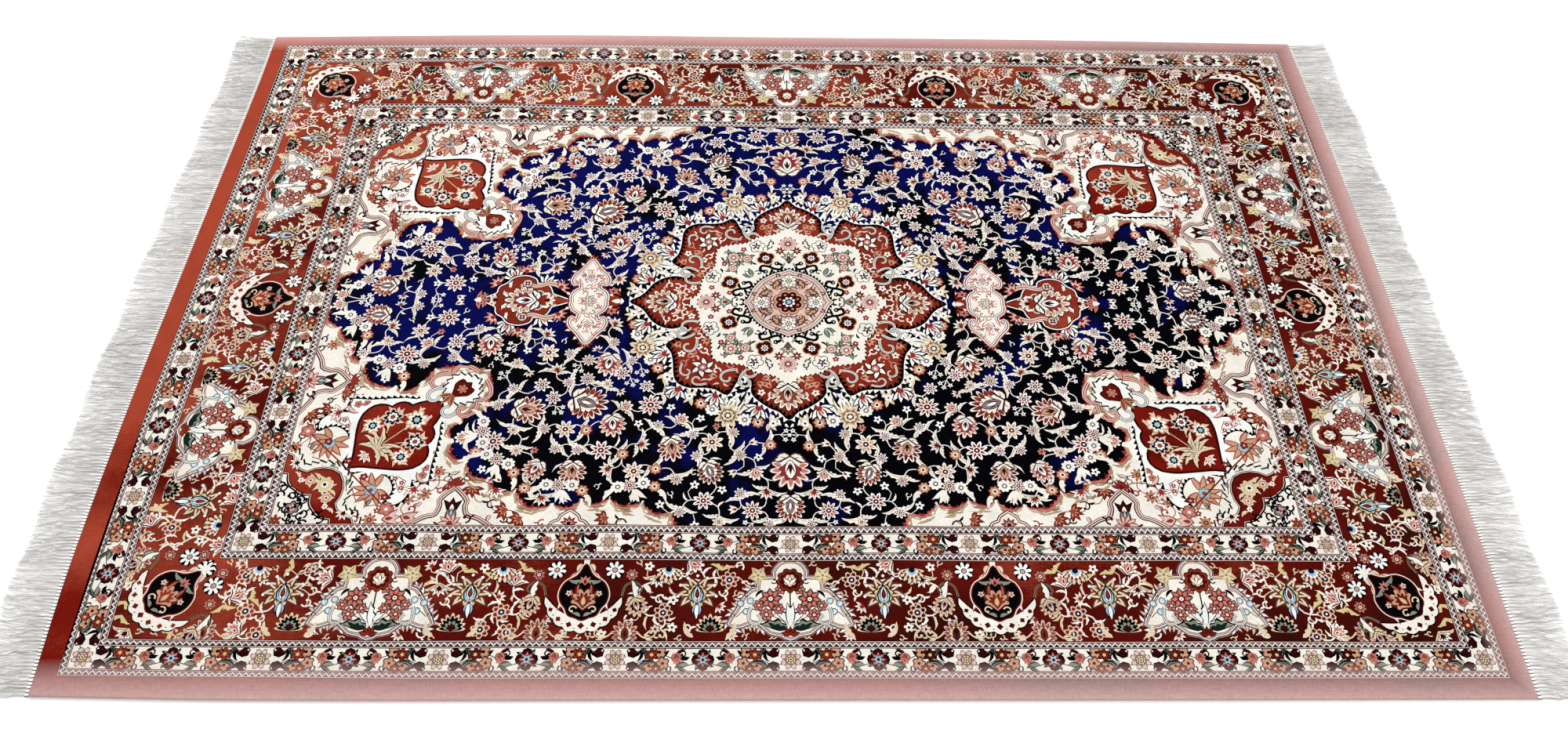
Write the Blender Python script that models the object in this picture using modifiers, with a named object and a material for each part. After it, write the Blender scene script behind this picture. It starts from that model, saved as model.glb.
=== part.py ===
"""A hand-knotted rug that lies flat on a floor, with a fringe of warp ends at both short ends.

Metres, +Z up. +X runs along the rug and +Y across it. The origin is on the rug's underside, in its
middle, and the underside rests on z = 0. The rug is one thin sheet with bowed edges and a few low
swells. Each fringe is a narrow woven strip with its strands standing out of it, flat on the floor.
"""
import math
import random

import bmesh
import bpy

# The woven sheet.
RUG_LENGTH = 2.000
RUG_WIDTH = 1.330
RUG_THICKNESS = 0.005
CELLS_ALONG = 32
CELLS_ACROSS = 22
BOW_POWER = 4.0

# How far each edge stands out past its straight line: (place along the edge, distance out).
LEFT_END_BOW = (
    (-0.665, -0.0035),
    (-0.466, 0.0074),
    (-0.155, 0.0096),
    (0.160, 0.0042),
    (0.519, -0.0024),
    (0.665, -0.0020),
)
RIGHT_END_BOW = (
    (-0.665, -0.0046),
    (-0.300, 0.0006),
    (0.068, 0.0018),
    (0.408, 0.0013),
    (0.665, -0.0039),
)
NEAR_SIDE_BOW = (
    (-1.000, -0.0042),
    (-0.728, 0.0003),
    (0.000, -0.0008),
    (0.500, -0.0018),
    (1.000, -0.0040),
)
FAR_SIDE_BOW = (
    (-1.000, -0.0142),
    (-0.466, 0.0004),
    (0.000, 0.0007),
    (0.460, 0.0010),
    (1.000, -0.0045),
)

# Where the cloth rides up off the floor: (x, y, reach along x, reach along y, height).
SWELLS = (
    (-0.62, 0.44, 0.30, 0.24, 0.0022),
    (0.55, -0.40, 0.34, 0.22, 0.0026),
    (0.60, 0.46, 0.24, 0.20, 0.0016),
    (-0.50, -0.46, 0.28, 0.19, 0.0018),
    (0.08, 0.53, 0.26, 0.13, 0.0020),
)

# The fringe.
EDGE_GAP = 0.0003
STRIP_WIDTH = 0.006
FRINGE_THICKNESS = 0.002
STRANDS_PER_END = 120
ROOT_SHARE = 0.56
TIP_SHARE = 0.30
STRAND_LENGTH = 0.066
LENGTH_WAVE = 0.003
LENGTH_SCATTER = 0.003
STRAND_STEPS = 3
# Sideways sway of the strands' tips: (height of the wave, its length along the rug's end).
SWAY_WAVES = (
    (0.0055, 0.190),
    (0.0020, 0.071),
)
STRAND_SEED = 11

RUG_COLOUR = (0.36, 0.035, 0.018, 1.0)
FRINGE_COLOUR = (0.72, 0.70, 0.66, 1.0)


def clear_scene():
    for obj in list(bpy.data.objects):
        bpy.data.objects.remove(obj, do_unlink=True)


def make_collection():
    collection = bpy.data.collections.new("persian_rug")
    bpy.context.scene.collection.children.link(collection)
    return collection


def make_material(name, colour, roughness):
    material = bpy.data.materials.new(name)
    material.use_nodes = True
    shader = material.node_tree.nodes["Principled BSDF"]
    shader.inputs["Base Color"].default_value = colour
    shader.inputs["Roughness"].default_value = roughness
    shader.inputs["Metallic"].default_value = 0.0
    return material


def along(table, place):
    """The second column of a table at a place in its first column, on a smooth curve."""
    places = [row[0] for row in table]
    values = [row[1] for row in table]
    place = min(max(place, places[0]), places[-1])
    index = 0
    while index < len(places) - 2 and place > places[index + 1]:
        index += 1
    slopes = []
    for knot in (index, index + 1):
        low = max(knot - 1, 0)
        high = min(knot + 1, len(places) - 1)
        slopes.append((values[high] - values[low]) / (places[high] - places[low]))
    span = places[index + 1] - places[index]
    t = (place - places[index]) / span
    rise = 3.0 * t * t - 2.0 * t * t * t
    start_slope = (t * t * t - 2.0 * t * t + t) * span * slopes[0]
    end_slope = (t * t * t - t * t) * span * slopes[1]
    return values[index] + rise * (values[index + 1] - values[index]) + start_slope + end_slope


def end_x(side, y):
    """Where the rug's end is at a distance across; side is -1 for the left end, 1 for the right."""
    table = LEFT_END_BOW if side < 0 else RIGHT_END_BOW
    return side * (RUG_LENGTH / 2 + along(table, y))


def side_y(side, x):
    """Where the rug's long edge is at a distance along; side is -1 for near and 1 for far."""
    table = NEAR_SIDE_BOW if side < 0 else FAR_SIDE_BOW
    return side * (RUG_WIDTH / 2 + along(table, x))


def swell_height(x, y):
    height = 0.0
    for centre_x, centre_y, reach_x, reach_y, top in SWELLS:
        distance = math.hypot((x - centre_x) / reach_x, (y - centre_y) / reach_y)
        if distance < 1.0:
            height += top * (1.0 - distance * distance) ** 2
    return height


def laid_point(x, y):
    """Moves a point of the straight-edged sheet to where the real one lies."""
    share_x = abs(x) / (RUG_LENGTH / 2)
    share_y = abs(y) / (RUG_WIDTH / 2)
    side_of_x = math.copysign(1.0, x)
    side_of_y = math.copysign(1.0, y)
    bow_x = end_x(side_of_x, y) - side_of_x * RUG_LENGTH / 2
    bow_y = side_y(side_of_y, x) - side_of_y * RUG_WIDTH / 2
    new_x = x + bow_x * share_x ** BOW_POWER
    new_y = y + bow_y * share_y ** BOW_POWER
    return new_x, new_y, swell_height(new_x, new_y)


def thicken(obj, thickness):
    solidify = obj.modifiers.new("thickness", "SOLIDIFY")
    solidify.thickness = thickness
    solidify.offset = 1.0


def make_sheet_object(name, surface, thickness, material, collection):
    mesh = bpy.data.meshes.new(name)
    surface.to_mesh(mesh)
    surface.free()
    mesh.materials.append(material)
    obj = bpy.data.objects.new(name, mesh)
    collection.objects.link(obj)
    thicken(obj, thickness)
    return obj


def make_rug(collection):
    surface = bmesh.new()
    bmesh.ops.create_grid(
        surface,
        x_segments=CELLS_ALONG,
        y_segments=CELLS_ACROSS,
        size=1.0,
    )
    for vert in surface.verts:
        vert.co = laid_point(vert.co.x * RUG_LENGTH / 2, vert.co.y * RUG_WIDTH / 2)
    material = make_material("knotted_pile", RUG_COLOUR, 0.75)
    return make_sheet_object("rug", surface, RUG_THICKNESS, material, collection)


def rug_end_line(side):
    """The rug's end edge, corner to corner, as its sheet's cells have it."""
    line = []
    for row in range(CELLS_ACROSS + 1):
        y = RUG_WIDTH * (row / CELLS_ACROSS - 0.5)
        line.append(laid_point(side * RUG_LENGTH / 2, y)[:2])
    return line


def line_x(line, y):
    """Where a line of points crosses y."""
    for (low_x, low_y), (high_x, high_y) in zip(line, line[1:]):
        if y <= high_y:
            break
    return low_x + (high_x - low_x) * (y - low_y) / (high_y - low_y)


def strip_stations(line):
    """Places across the end where strand roots and gaps begin and end, with the corners."""
    low = line[0][1]
    high = line[-1][1]
    pitch = (high - low) / STRANDS_PER_END
    gap = pitch * (1.0 - ROOT_SHARE)
    stations = [low]
    for index in range(STRANDS_PER_END):
        root_start = low + index * pitch + gap / 2
        stations.append(root_start)
        stations.append(root_start + pitch * ROOT_SHARE)
    stations.append(high)
    return stations, pitch


def sway(y):
    offset = 0.0
    for height, length in SWAY_WAVES:
        offset += height * math.sin(2.0 * math.pi * y / length)
    return offset


def extrude_strand(surface, root_edge, side, length, width):
    """Grows one strand from an edge of the strip, in steps that narrow and sway to one side."""
    start_x = sum(vert.co.x for vert in root_edge.verts) / 2
    root_y = sum(vert.co.y for vert in root_edge.verts) / 2
    edge = root_edge
    for step in range(1, STRAND_STEPS + 1):
        share = step / STRAND_STEPS
        grown = bmesh.ops.extrude_edge_only(surface, edges=[edge])
        edge = [item for item in grown["geom"] if isinstance(item, bmesh.types.BMEdge)][0]
        half = width * (1.0 + (TIP_SHARE / ROOT_SHARE - 1.0) * share) / 2
        centre_y = root_y + sway(root_y) * share * share
        low, high = sorted(edge.verts, key=lambda vert: vert.co.y)
        low.co = (start_x + side * length * share, centre_y - half, 0.0)
        high.co = (start_x + side * length * share, centre_y + half, 0.0)


def make_fringe(name, side, material, collection, rng):
    surface = bmesh.new()
    line = rug_end_line(side)
    stations, pitch = strip_stations(line)
    inner = []
    outer = []
    for y in stations:
        x = line_x(line, y) + side * EDGE_GAP
        inner.append(surface.verts.new((x, y, 0.0)))
        outer.append(surface.verts.new((x + side * STRIP_WIDTH, y, 0.0)))
    for index in range(len(stations) - 1):
        surface.faces.new((inner[index], outer[index], outer[index + 1], inner[index + 1]))
    for strand in range(STRANDS_PER_END):
        first = 1 + 2 * strand
        root_edge = surface.edges.get((outer[first], outer[first + 1]))
        wave = LENGTH_WAVE * math.sin(2.0 * math.pi * stations[first] / SWAY_WAVES[0][1])
        length = STRAND_LENGTH + wave + rng.uniform(-LENGTH_SCATTER, LENGTH_SCATTER)
        extrude_strand(surface, root_edge, side, length, pitch * ROOT_SHARE)
    bmesh.ops.recalc_face_normals(surface, faces=surface.faces)
    if surface.faces[:][0].normal.z < 0.0:
        bmesh.ops.reverse_faces(surface, faces=surface.faces)
    return make_sheet_object(name, surface, FRINGE_THICKNESS, material, collection)


def build():
    clear_scene()
    collection = make_collection()
    make_rug(collection)
    rng = random.Random(STRAND_SEED)
    material = make_material("warp_yarn", FRINGE_COLOUR, 0.85)
    make_fringe("fringe_left", -1, material, collection, rng)
    make_fringe("fringe_right", 1, material, collection, rng)


build()
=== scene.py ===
"""The looks of a hand-knotted silk rug with a central medallion, laid flat on a pale floor.

The pattern is drawn once, as flat coloured shapes over one quarter of the rug, and mirrored to the
other three. Metres, in the frame's own axes: +X along the rug and +Y across it.
"""

import cmath
import math
import random

import bpy
import numpy as np
from mathutils import Matrix, Vector
from mathutils.bvhtree import BVHTree
from mathutils.geometry import delaunay_2d_cdt


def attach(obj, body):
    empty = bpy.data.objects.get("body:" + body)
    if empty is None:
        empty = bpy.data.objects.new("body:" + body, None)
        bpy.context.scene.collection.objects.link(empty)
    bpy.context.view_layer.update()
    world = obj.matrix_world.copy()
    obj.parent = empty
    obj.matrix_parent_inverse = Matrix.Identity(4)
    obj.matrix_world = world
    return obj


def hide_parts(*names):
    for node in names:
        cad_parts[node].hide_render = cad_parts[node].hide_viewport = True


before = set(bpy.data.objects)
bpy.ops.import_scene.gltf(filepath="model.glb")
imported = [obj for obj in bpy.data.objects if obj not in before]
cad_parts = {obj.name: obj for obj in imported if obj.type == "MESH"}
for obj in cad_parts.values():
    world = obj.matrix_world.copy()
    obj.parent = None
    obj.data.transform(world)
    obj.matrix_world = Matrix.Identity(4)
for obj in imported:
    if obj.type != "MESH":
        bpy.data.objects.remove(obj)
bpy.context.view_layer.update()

# The woven sheet, as the CAD model lays it.
RUG_LENGTH = 2.000
RUG_WIDTH = 1.330
RUG_THICKNESS = 0.005
BOW_POWER = 4.0
# How far each edge stands out past its straight line: (place along the edge, distance out).
LEFT_END_BOW = (
    (-0.665, -0.0035),
    (-0.466, 0.0074),
    (-0.155, 0.0096),
    (0.160, 0.0042),
    (0.519, -0.0024),
    (0.665, -0.0020),
)
RIGHT_END_BOW = (
    (-0.665, -0.0046),
    (-0.300, 0.0006),
    (0.068, 0.0018),
    (0.408, 0.0013),
    (0.665, -0.0039),
)
NEAR_SIDE_BOW = (
    (-1.000, -0.0042),
    (-0.728, 0.0003),
    (0.000, -0.0008),
    (0.500, -0.0018),
    (1.000, -0.0040),
)
FAR_SIDE_BOW = (
    (-1.000, -0.0142),
    (-0.466, 0.0004),
    (0.000, 0.0007),
    (0.460, 0.0010),
    (1.000, -0.0045),
)
# Where the cloth rides up off the floor: (x, y, reach along x, reach along y, height).
SWELLS = (
    (-0.62, 0.44, 0.30, 0.24, 0.0022),
    (0.55, -0.40, 0.34, 0.22, 0.0026),
    (0.60, 0.46, 0.24, 0.20, 0.0016),
    (-0.50, -0.46, 0.28, 0.19, 0.0018),
    (0.08, 0.53, 0.26, 0.13, 0.0020),
)
# Slow waves in the knotted lines: (height, turns along, turns across, phase).
HAND_WAVES = (
    (0.0009, 9.0, 14.0, 0.4),
    (0.0006, 27.0, -19.0, 1.9),
    (0.0004, 52.0, 61.0, 3.1),
)
ROLL_DEPTH = 0.0028
ROLL_STEPS = 5
SHARP_ANGLE = math.radians(50)
# At this scale the wave texture's bands are 3.2 mm apart.
KNOT_ROWS_SCALE = 0.5 / (0.0008 * 6.2832)

# The quarter's regions, and how finely they are cut into triangles.
COLUMN_LINES = (0.0, RUG_LENGTH / 4, RUG_LENGTH / 2 - ROLL_DEPTH)
ROW_LINES = (0.0, RUG_WIDTH / 6, RUG_WIDTH / 2 - ROLL_DEPTH)
GRID_PITCH = 0.016
BACK_PITCH = 0.030
BACK_DETAIL = 0.045
WELD = 1e-6
LINE_TOLERANCE = 0.00006
# The share of a tile's picture that its front and its back take.
FRONT_UV = 0.78
BACK_UV = 0.195
UV_MARGIN = 0.002
RIM_UV = 0.010

# The fringe.
EDGE_GAP = 0.0003
STRIP_WIDTH = 0.006
STRIP_HEIGHT = 0.0019
STRIP_PROFILE = ((0.0, 0.0), (0.08, 0.9), (0.45, 0.75), (0.9, 0.9), (1.0, 0.0))
STRAND_LENGTH = 0.066
LENGTH_WAVE = 0.003
STRAND_STEPS = 6
STRAND_SIDES = 3
KNOT_RINGS = 3
KNOT_SIDES = 6
# How far a strand's ripple turns from its root to its tip, in radians.
STRAND_TURN = 13.0
STRAND_RADIUS = 0.00034
BUNCH_PITCH = 0.005
STRANDS_PER_BUNCH = 7
# Each strand's tone, which differs at random and also paints the shade between the strands.
STRAND_TONES_AND_SHADE = (0.48, 0.66, 0.82, 0.92, 1.0)
# The painted shade in the gaps between the strip's knots.
STRIP_GAP_SHADE = 0.08
# The share of bunches with a stray strand that lies across the others, none near a section's ends.
STRAY_SHARE = 0.16
STRAY_MARGIN = 5
# Sideways sway of the strands' tips: (height of the wave, its length along the rug's end).
SWAY_WAVES = (
    (0.0055, 0.190),
    (0.0020, 0.071),
)
FRINGE_SEED = 23

FLOOR_SIZE = 14.0
FLOOR_DROP = 0.0004
WORLD_STRENGTH = 0.62
# (name, place, aim, size, power)
LIGHTS = (
    ("key", (-1.8, 2.2, 3.2), (0, 0, 0), 2.6, 120.0),
    ("fill", (1.6, -1.6, 3.4), (0, 0, 0), 3.0, 75.0),
)

# The camera of the photograph.
CAMERA_PLACE = (-0.0352, -1.1703, 1.4946)
CAMERA_FORWARD = (0.0152, 0.5707, -0.8210)
CAMERA_UP = (-0.0060, 0.8211, 0.5707)
CAMERA_LENS = 26.40
CAMERA_SENSOR = 36.0

# The pile's dyes, as sRGB values from 0 to 255.
PALETTE = dict(
    black=(4, 3, 5),
    umber=(84, 54, 46),
    navy=(6, 10, 80),
    ink=(12, 16, 40),
    red=(92, 15, 9),
    brick=(136, 44, 28),
    maroon=(56, 8, 12),
    rust=(148, 74, 54),
    ivory=(252, 246, 234),
    cream=(234, 214, 182),
    sand=(188, 160, 128),
    yellow=(222, 204, 146),
    pink=(202, 124, 112),
    blush=(230, 198, 184),
    rose=(150, 48, 50),
    peach=(210, 158, 128),
    mauve=(146, 122, 122),
    grey=(62, 46, 48),
    olive=(138, 130, 98),
    sage=(138, 146, 128),
    green=(20, 38, 32),
    sky=(166, 200, 212),
    white=(255, 255, 250),
    band=(122, 22, 12),
    selvage=(104, 16, 10),
)
BAND_COLOUR = "band"
SELVAGE_COLOUR = "selvage"
# Dyes that get the pile material's painted sheen and shade: reds near 0.5, navy at 1.
SHEEN_AND_SHADE_DYES = dict(red=0.5, band=0.5, selvage=0.5, brick=0.5, navy=1.0)
# The red pile's painted sheen, then its painted shade.
RED_PAINTED_SHEEN = (0.42, 0.062, 0.030, 1.0)
RED_PAINTED_SHADE = (0.034, 0.0036, 0.0020, 1.0)
# How far from the middle the pile starts to fade, (along, across), and what it fades to.
FADE_FROM = (0.945, 0.610)
FADED_RED = (0.60, 0.40, 0.38, 1.0)
# How much of its full brightness the pile gives back: a painted shade of the pile's depth, the same for every
# dye.
PILE_DEPTH_SHADE = 0.72
# The navy pile's painted shade, where it leans away from the light.
NAVY_PAINTED_SHADE = (0.0010, 0.0010, 0.0022, 1.0)

# Half sizes of the pattern's rectangles, (along, across), from the outer guard's outer line inwards.
GUARD = (0.971, 0.637)
BORDER = (0.917, 0.583)
INNER = (0.7995, 0.465)
FIELD = (0.744, 0.410)

# The lines of a stripe: (distance in from each edge, colour), from the outside in.
STRIPE_LINES = ((0.0, "black"), (0.0011, "blush"), (0.0021, "black"), (0.0030, "grey"))
# Its zigzag: the distance in from each edge, and the length of a tooth.
STRIPE_CORE = 0.0030
ZIGZAG = 0.0088
# The size that the guard's half repeat and its rosettes are drawn at, and how its stem sways: the
# height, and the turn in radians a metre.
GUARD_REPEAT = 0.122
GUARD_WIDTH = 0.031
GUARD_SWAY = 0.0085
GUARD_SWAY_TURN = 77
# The longest vine between two flowers of the same ground, and the longest twig to a bud.
VINE_REACH = 0.085
IVORY_VINE_REACH = 0.060
TWIG_REACH = 0.034
PATTERN_SEED = 7

# The drawing so far, lowest first: (colour, outline). Spots that are taken: (point, radius).
drawn = []
taken = []
rng = random.Random(PATTERN_SEED)


class Place:
    """Where a motif goes: moved to a point, turned by degrees, sized, and mirrored if asked."""

    def __init__(self, at=0, turn=0.0, size=1.0, flip=False):
        self.at = complex(at)
        self.spin = cmath.rect(size, math.radians(turn))
        self.flip = flip

    def __call__(self, point):
        point = complex(point)
        point = point.conjugate() if self.flip else point
        return self.at + self.spin * point

    def inside(self, at=0, turn=0.0, size=1.0, flip=False):
        inner = Place(self(at), 0.0, 1.0, self.flip != flip)
        spin = cmath.rect(size, math.radians(turn))
        inner.spin = self.spin * (spin.conjugate() if self.flip else spin)
        return inner

    def twin(self, at, turn=0.0, flip=False):
        """A place beside the motif's own axis; with flip it is the same place on the other side."""
        point = complex(at)
        if flip:
            return self.inside(point.conjugate(), -turn, 1.0, True)
        return self.inside(point, turn)


def side_place(long_side):
    """A place whose +x runs along the rug's long or short side, with +y out of the rug."""
    return Place() if long_side else Place(0, 90, 1, True)


def facing(direction):
    """A direction's angle, in degrees."""
    return math.degrees(cmath.phase(direction))


def draw(place, points, colour):
    drawn.append((colour, [place(point) for point in points]))


def stack(place, layers):
    """Outlines one on another: (outline function, colour, the function's own values)."""
    for shape, colour, *values in layers:
        draw(place, shape(*values), colour)


def grow(place, motifs, flip=False):
    """Motifs at spots of a place: (motif, spot, turn, its own values); flip puts them on the other side."""
    for motif, spot, turn, *values in motifs:
        motif(place.twin(spot, turn, flip), *values)


# ------------------------------------------------------------ outlines


def circle(radius, count=12, centre=0):
    return [centre + cmath.rect(radius, 2 * math.pi * k / count) for k in range(count)]


def lobes(radius, count, depth, steps=4, phase=0.0, power=0.6):
    """A rosette's outline, with round petals that meet in cusps."""
    points = []
    for k in range(count * steps):
        bulge = abs(math.sin(math.pi * k / steps)) ** power
        angle = 2 * math.pi * (k / steps + phase) / count
        points.append(cmath.rect(radius * (1 - depth + depth * bulge), angle))
    return points


def star(radius, count, depth, phase=0.0):
    """An outline of straight points."""
    points = []
    for k in range(2 * count):
        angle = math.pi * (k + 2 * phase) / count
        points.append(cmath.rect(radius * (1 if k % 2 == 0 else 1 - depth), angle))
    return points


def smooth(points, steps=4, closed=False):
    """A smooth curve through the points."""
    points = [complex(p) for p in points]
    count = len(points)
    curve = []
    for k in range(count if closed else count - 1):
        if closed:
            a, b, c, d = (points[(k + j) % count] for j in (-1, 0, 1, 2))
        else:
            b, c = points[k], points[k + 1]
            a = points[k - 1] if k else b
            d = points[k + 2] if k + 2 < count else c
        for j in range(steps):
            t = j / steps
            curve.append(
                0.5 * (2 * b + (c - a) * t + (2 * a - 5 * b + 4 * c - d) * t * t
                       + (3 * b - a - 3 * c + d) * t ** 3)
            )
    if not closed:
        curve.append(points[-1])
    return curve


def scallops(cusps, bulges, steps=5):
    """Round lobes from cusp to cusp; a bulge is its lobe's height as a share of the chord."""
    points = []
    for a, b, bulge in zip(cusps, cusps[1:], bulges):
        out = -1j * (b - a)
        for j in range(steps):
            t = j / steps
            points.append(a + (b - a) * t + out * bulge * 4 * t * (1 - t))
    return points + [cusps[-1]]


def area(points):
    return sum((a.conjugate() * b).imag for a, b in zip(points, points[1:] + points[:1])) / 2


def normals(points, closed=True):
    count = len(points)
    result = []
    for k in range(count):
        if closed:
            along_line = points[(k + 1) % count] - points[k - 1]
        else:
            along_line = points[min(k + 1, count - 1)] - points[max(k - 1, 0)]
        result.append(-1j * along_line / (abs(along_line) or 1))
    return result


def grown(points, distance):
    """A closed outline, drawn anticlockwise, moved outwards."""
    return [p + n * distance for p, n in zip(points, normals(points))]


def spaced(points, pitch, closed=True):
    """The same line with points at an even pitch."""
    line = points + [points[0]] if closed else points
    lengths = [abs(b - a) for a, b in zip(line, line[1:])]
    total = sum(lengths)
    count = max(3, round(total / pitch))
    result = []
    index = 0
    passed = 0.0
    for k in range(count if closed else count + 1):
        target = min(total * k / count, total * 0.999999)
        while passed + lengths[index] < target:
            passed += lengths[index]
            index += 1
        share = (target - passed) / (lengths[index] or 1)
        result.append(line[index] + (line[index + 1] - line[index]) * share)
    return result


def toothed(points, pitch, height, lean=0.3, closed=True):
    """A line with saw teeth on its outer side."""
    even = spaced(points, pitch / 2, closed)
    out = normals(even, closed)
    result = []
    for k, (p, n) in enumerate(zip(even, out)):
        along_line = 1j * n
        result.append(p + n * height + along_line * pitch * lean if k % 2 else p)
    return result


def saw(points, pitch, height, back):
    """Saw teeth on an open line's outer side, joined by a strip on its inner side that is back wide."""
    teeth = toothed(points, pitch, height, 0.35, False)
    even = spaced(points, pitch / 2, False)
    strip = [p - n * back for p, n in zip(even, normals(even, False))]
    return teeth + strip[::-1]


def ribbon(points, width, tip=1.0):
    """A band along a line; its width goes to tip times itself at the end."""
    out = normals(points, closed=False)
    left = []
    right = []
    for k, (p, n) in enumerate(zip(points, out)):
        half = width / 2 * (1 + (tip - 1) * k / (len(points) - 1))
        left.append(p - n * half)
        right.append(p + n * half)
    return right + left[::-1]


def hoop(points, width):
    """A closed line with a width: its outer side, then its inner side the other way round."""
    out = normals(points)
    outer = [p + n * width / 2 for p, n in zip(points, out)]
    inner = [p - n * width / 2 for p, n in zip(points, out)]
    return outer + outer[:1] + inner[:1] + inner[::-1]


def drop(length, width, count=5):
    """A pointed drop from its stalk at 0 to its tip at length."""
    upper = []
    for k in range(1, count):
        t = k / count
        upper.append(complex(length * t, width / 2 * math.sin(math.pi * t ** 0.75)))
    return [0j] + [p.conjugate() for p in upper] + [complex(length)] + upper[::-1]


def leaf_points(length, width, bend, count=4, teeth=0.0):
    """A bent leaf from 0 towards +x; teeth on its outer side are a share of its width."""
    left = []
    right = []
    for k in range(1, count):
        t = k / count
        middle = length * t * cmath.exp(1j * bend * t)
        across = 1j * cmath.exp(1j * 2 * bend * t)
        half = width / 2 * math.sin(math.pi * t ** 0.8)
        jag = 1 + (teeth if k % 2 else -teeth)
        left.append(middle + across * half * 0.8)
        right.append(middle - across * half * jag)
    return [0j] + right + [length * cmath.exp(1j * bend)] + left[::-1]


def fan_points(size, reach, petals, spread, depth, base):
    """A fan of round-tipped petals about a point on the axis, closed at a base on the axis."""
    centre = 0.40 * size
    step = 2 * spread / petals
    points = [complex(base * size)]
    for k in range(petals):
        middle = -spread + (k + 0.5) * step
        long = reach * size * (1 - 0.20 * abs(middle) / spread)
        for turn, share in ((-0.5, 1 - depth), (-0.22, 0.92), (0.0, 1.0), (0.22, 0.92)):
            points.append(centre + cmath.rect(long * share, middle + turn * step))
    points.append(centre + cmath.rect(reach * size * 0.8 * (1 - depth), spread))
    return points


def mirrored(half):
    """A closed outline from its half at x over 0, whose first and last points are on the middle."""
    half = [complex(p) for p in half]
    return half + [complex(-p.real, p.imag) for p in half[-2:0:-1]]


def both_sides(half):
    """The same about the x axis, from a half at y over 0."""
    half = [complex(p) for p in half]
    return half + [p.conjugate() for p in half[-2:0:-1]]


def arch(half):
    """An open outline from its half at x over 0, whose last point is on the middle."""
    return half + [complex(-p.real, p.imag) for p in half[-2::-1]]


def anticlockwise(outline):
    return outline if area(outline) > 0 else outline[::-1]


def layered(place, outline, layers):
    """The outline at several distances, one on another: (distance, colour)."""
    for distance, colour in layers:
        draw(place, grown(outline, distance), colour)


# ------------------------------------------------------------ motifs


def leaf(place, length, width, bend, body, edge=None, vein=None):
    if edge:
        draw(place, leaf_points(length * 1.1, width * 1.55, bend), edge)
    draw(place, leaf_points(length, width, bend), body)
    if vein:
        middle = [length * t * cmath.exp(1j * bend * t) for t in (0.1, 0.5, 0.9)]
        draw(place, ribbon(middle, width * 0.22, 0.3), vein)


def plume(place, length, width, bend, body, edge=None, teeth=7):
    """A long leaf with a saw-toothed outer side."""
    if edge:
        draw(place, leaf_points(length * 1.08, width * 1.4, bend, teeth, 0.3), edge)
    draw(place, leaf_points(length, width, bend, teeth, 0.30), body)


def daisy(place, radius, petals, petal, heart, outline=None, depth=0.5):
    if outline:
        draw(place, lobes(radius * 1.2, petals, depth * 0.7, 3), outline)
    draw(place, lobes(radius, petals, depth, 3), petal)
    draw(place, circle(radius * 0.3, 5), heart)


def bloom(place, radius, petals, tip, root, heart, eye):
    """A flower of pointed petals, each with a darker root, round a ringed eye."""
    stack(place, (
        (lobes, tip, radius, petals, 0.50, 4, 0.0, 1.3), (star, root, radius * 0.80, petals, 0.52, 0.5),
        (star, tip, radius * 0.44, petals, 0.30, 0.0), (circle, heart, radius * 0.27, 7),
        (circle, eye, radius * 0.12, 4),
    ))


def rimmed_bloom(place, radius, petals, rim, petal, heart, eye):
    """A rosette whose petals have a thin dark rim."""
    stack(place, (
        (lobes, rim, radius, petals, 0.24, 4), (lobes, petal, radius * 0.82, petals, 0.28, 4),
        (star, heart, radius * 0.50, petals, 0.40, 0.5), (circle, eye, radius * 0.22, 6),
    ))


def fan(place, size, tip, root, heart, edge=None):
    """A flower seen from the side: a fan of five pointed petals over a small cup."""
    for turn in (-76, 76, -38, 38, 0):
        if edge:
            draw(place.inside(0.20 * size, turn), leaf_points(size * 0.74, size * 0.34, 0.0), edge)
    for turn in (-76, 76, -38, 38, 0):
        draw(place.inside(0.20 * size, turn), leaf_points(size * 0.68, size * 0.26, 0.0), tip)
        draw(place.inside(0.20 * size, turn), leaf_points(size * 0.42, size * 0.12, 0.0, 3), root)
    draw(place, [size * p for p in (0, 0.16 - 0.15j, 0.36 - 0.17j, 0.42, 0.36 + 0.17j, 0.16 + 0.15j)], heart)


def sprig(place, size, colour, vein=None):
    """Two saw-edged leaves that open on either side of a stalk."""
    for flip in (False, True):
        plume(place.twin(0, 24, flip), size, size * 0.36, 0.75, colour, None, 6)
        if vein:
            middle = [size * t * cmath.exp(0.75j * t) for t in (0.1, 0.45, 0.8)]
            draw(place.twin(0, 24, flip), ribbon(middle, size * 0.07, 0.3), vein)


def acanthus_leaf(place, size, bend, colour, vein):
    """A broad split leaf with a dark vein, which bends like a feather."""
    plume(place, size, size * 0.28, bend, colour, None, 8)
    middle = [size * t * cmath.exp(1j * bend * t) for t in (0.1, 0.4, 0.8)]
    draw(place, ribbon(middle, size * 0.06, 0.3), vein)


def spray(place, size, petal, heart, stalk):
    """Three small flowers on stalks that fork from 0."""
    for x, y in ((0.55, 0.55), (0.95, 0.05), (0.50, -0.50)):
        tip = size * complex(x, y)
        draw(place, ribbon([0j, tip * 0.5 + size * 0.06j, tip], size * 0.07), stalk)
        draw(place.inside(tip), star(size * 0.32, 5, 0.48, 0.3 * y), petal)
        draw(place.inside(tip), circle(size * 0.09, 4), heart)


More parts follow.
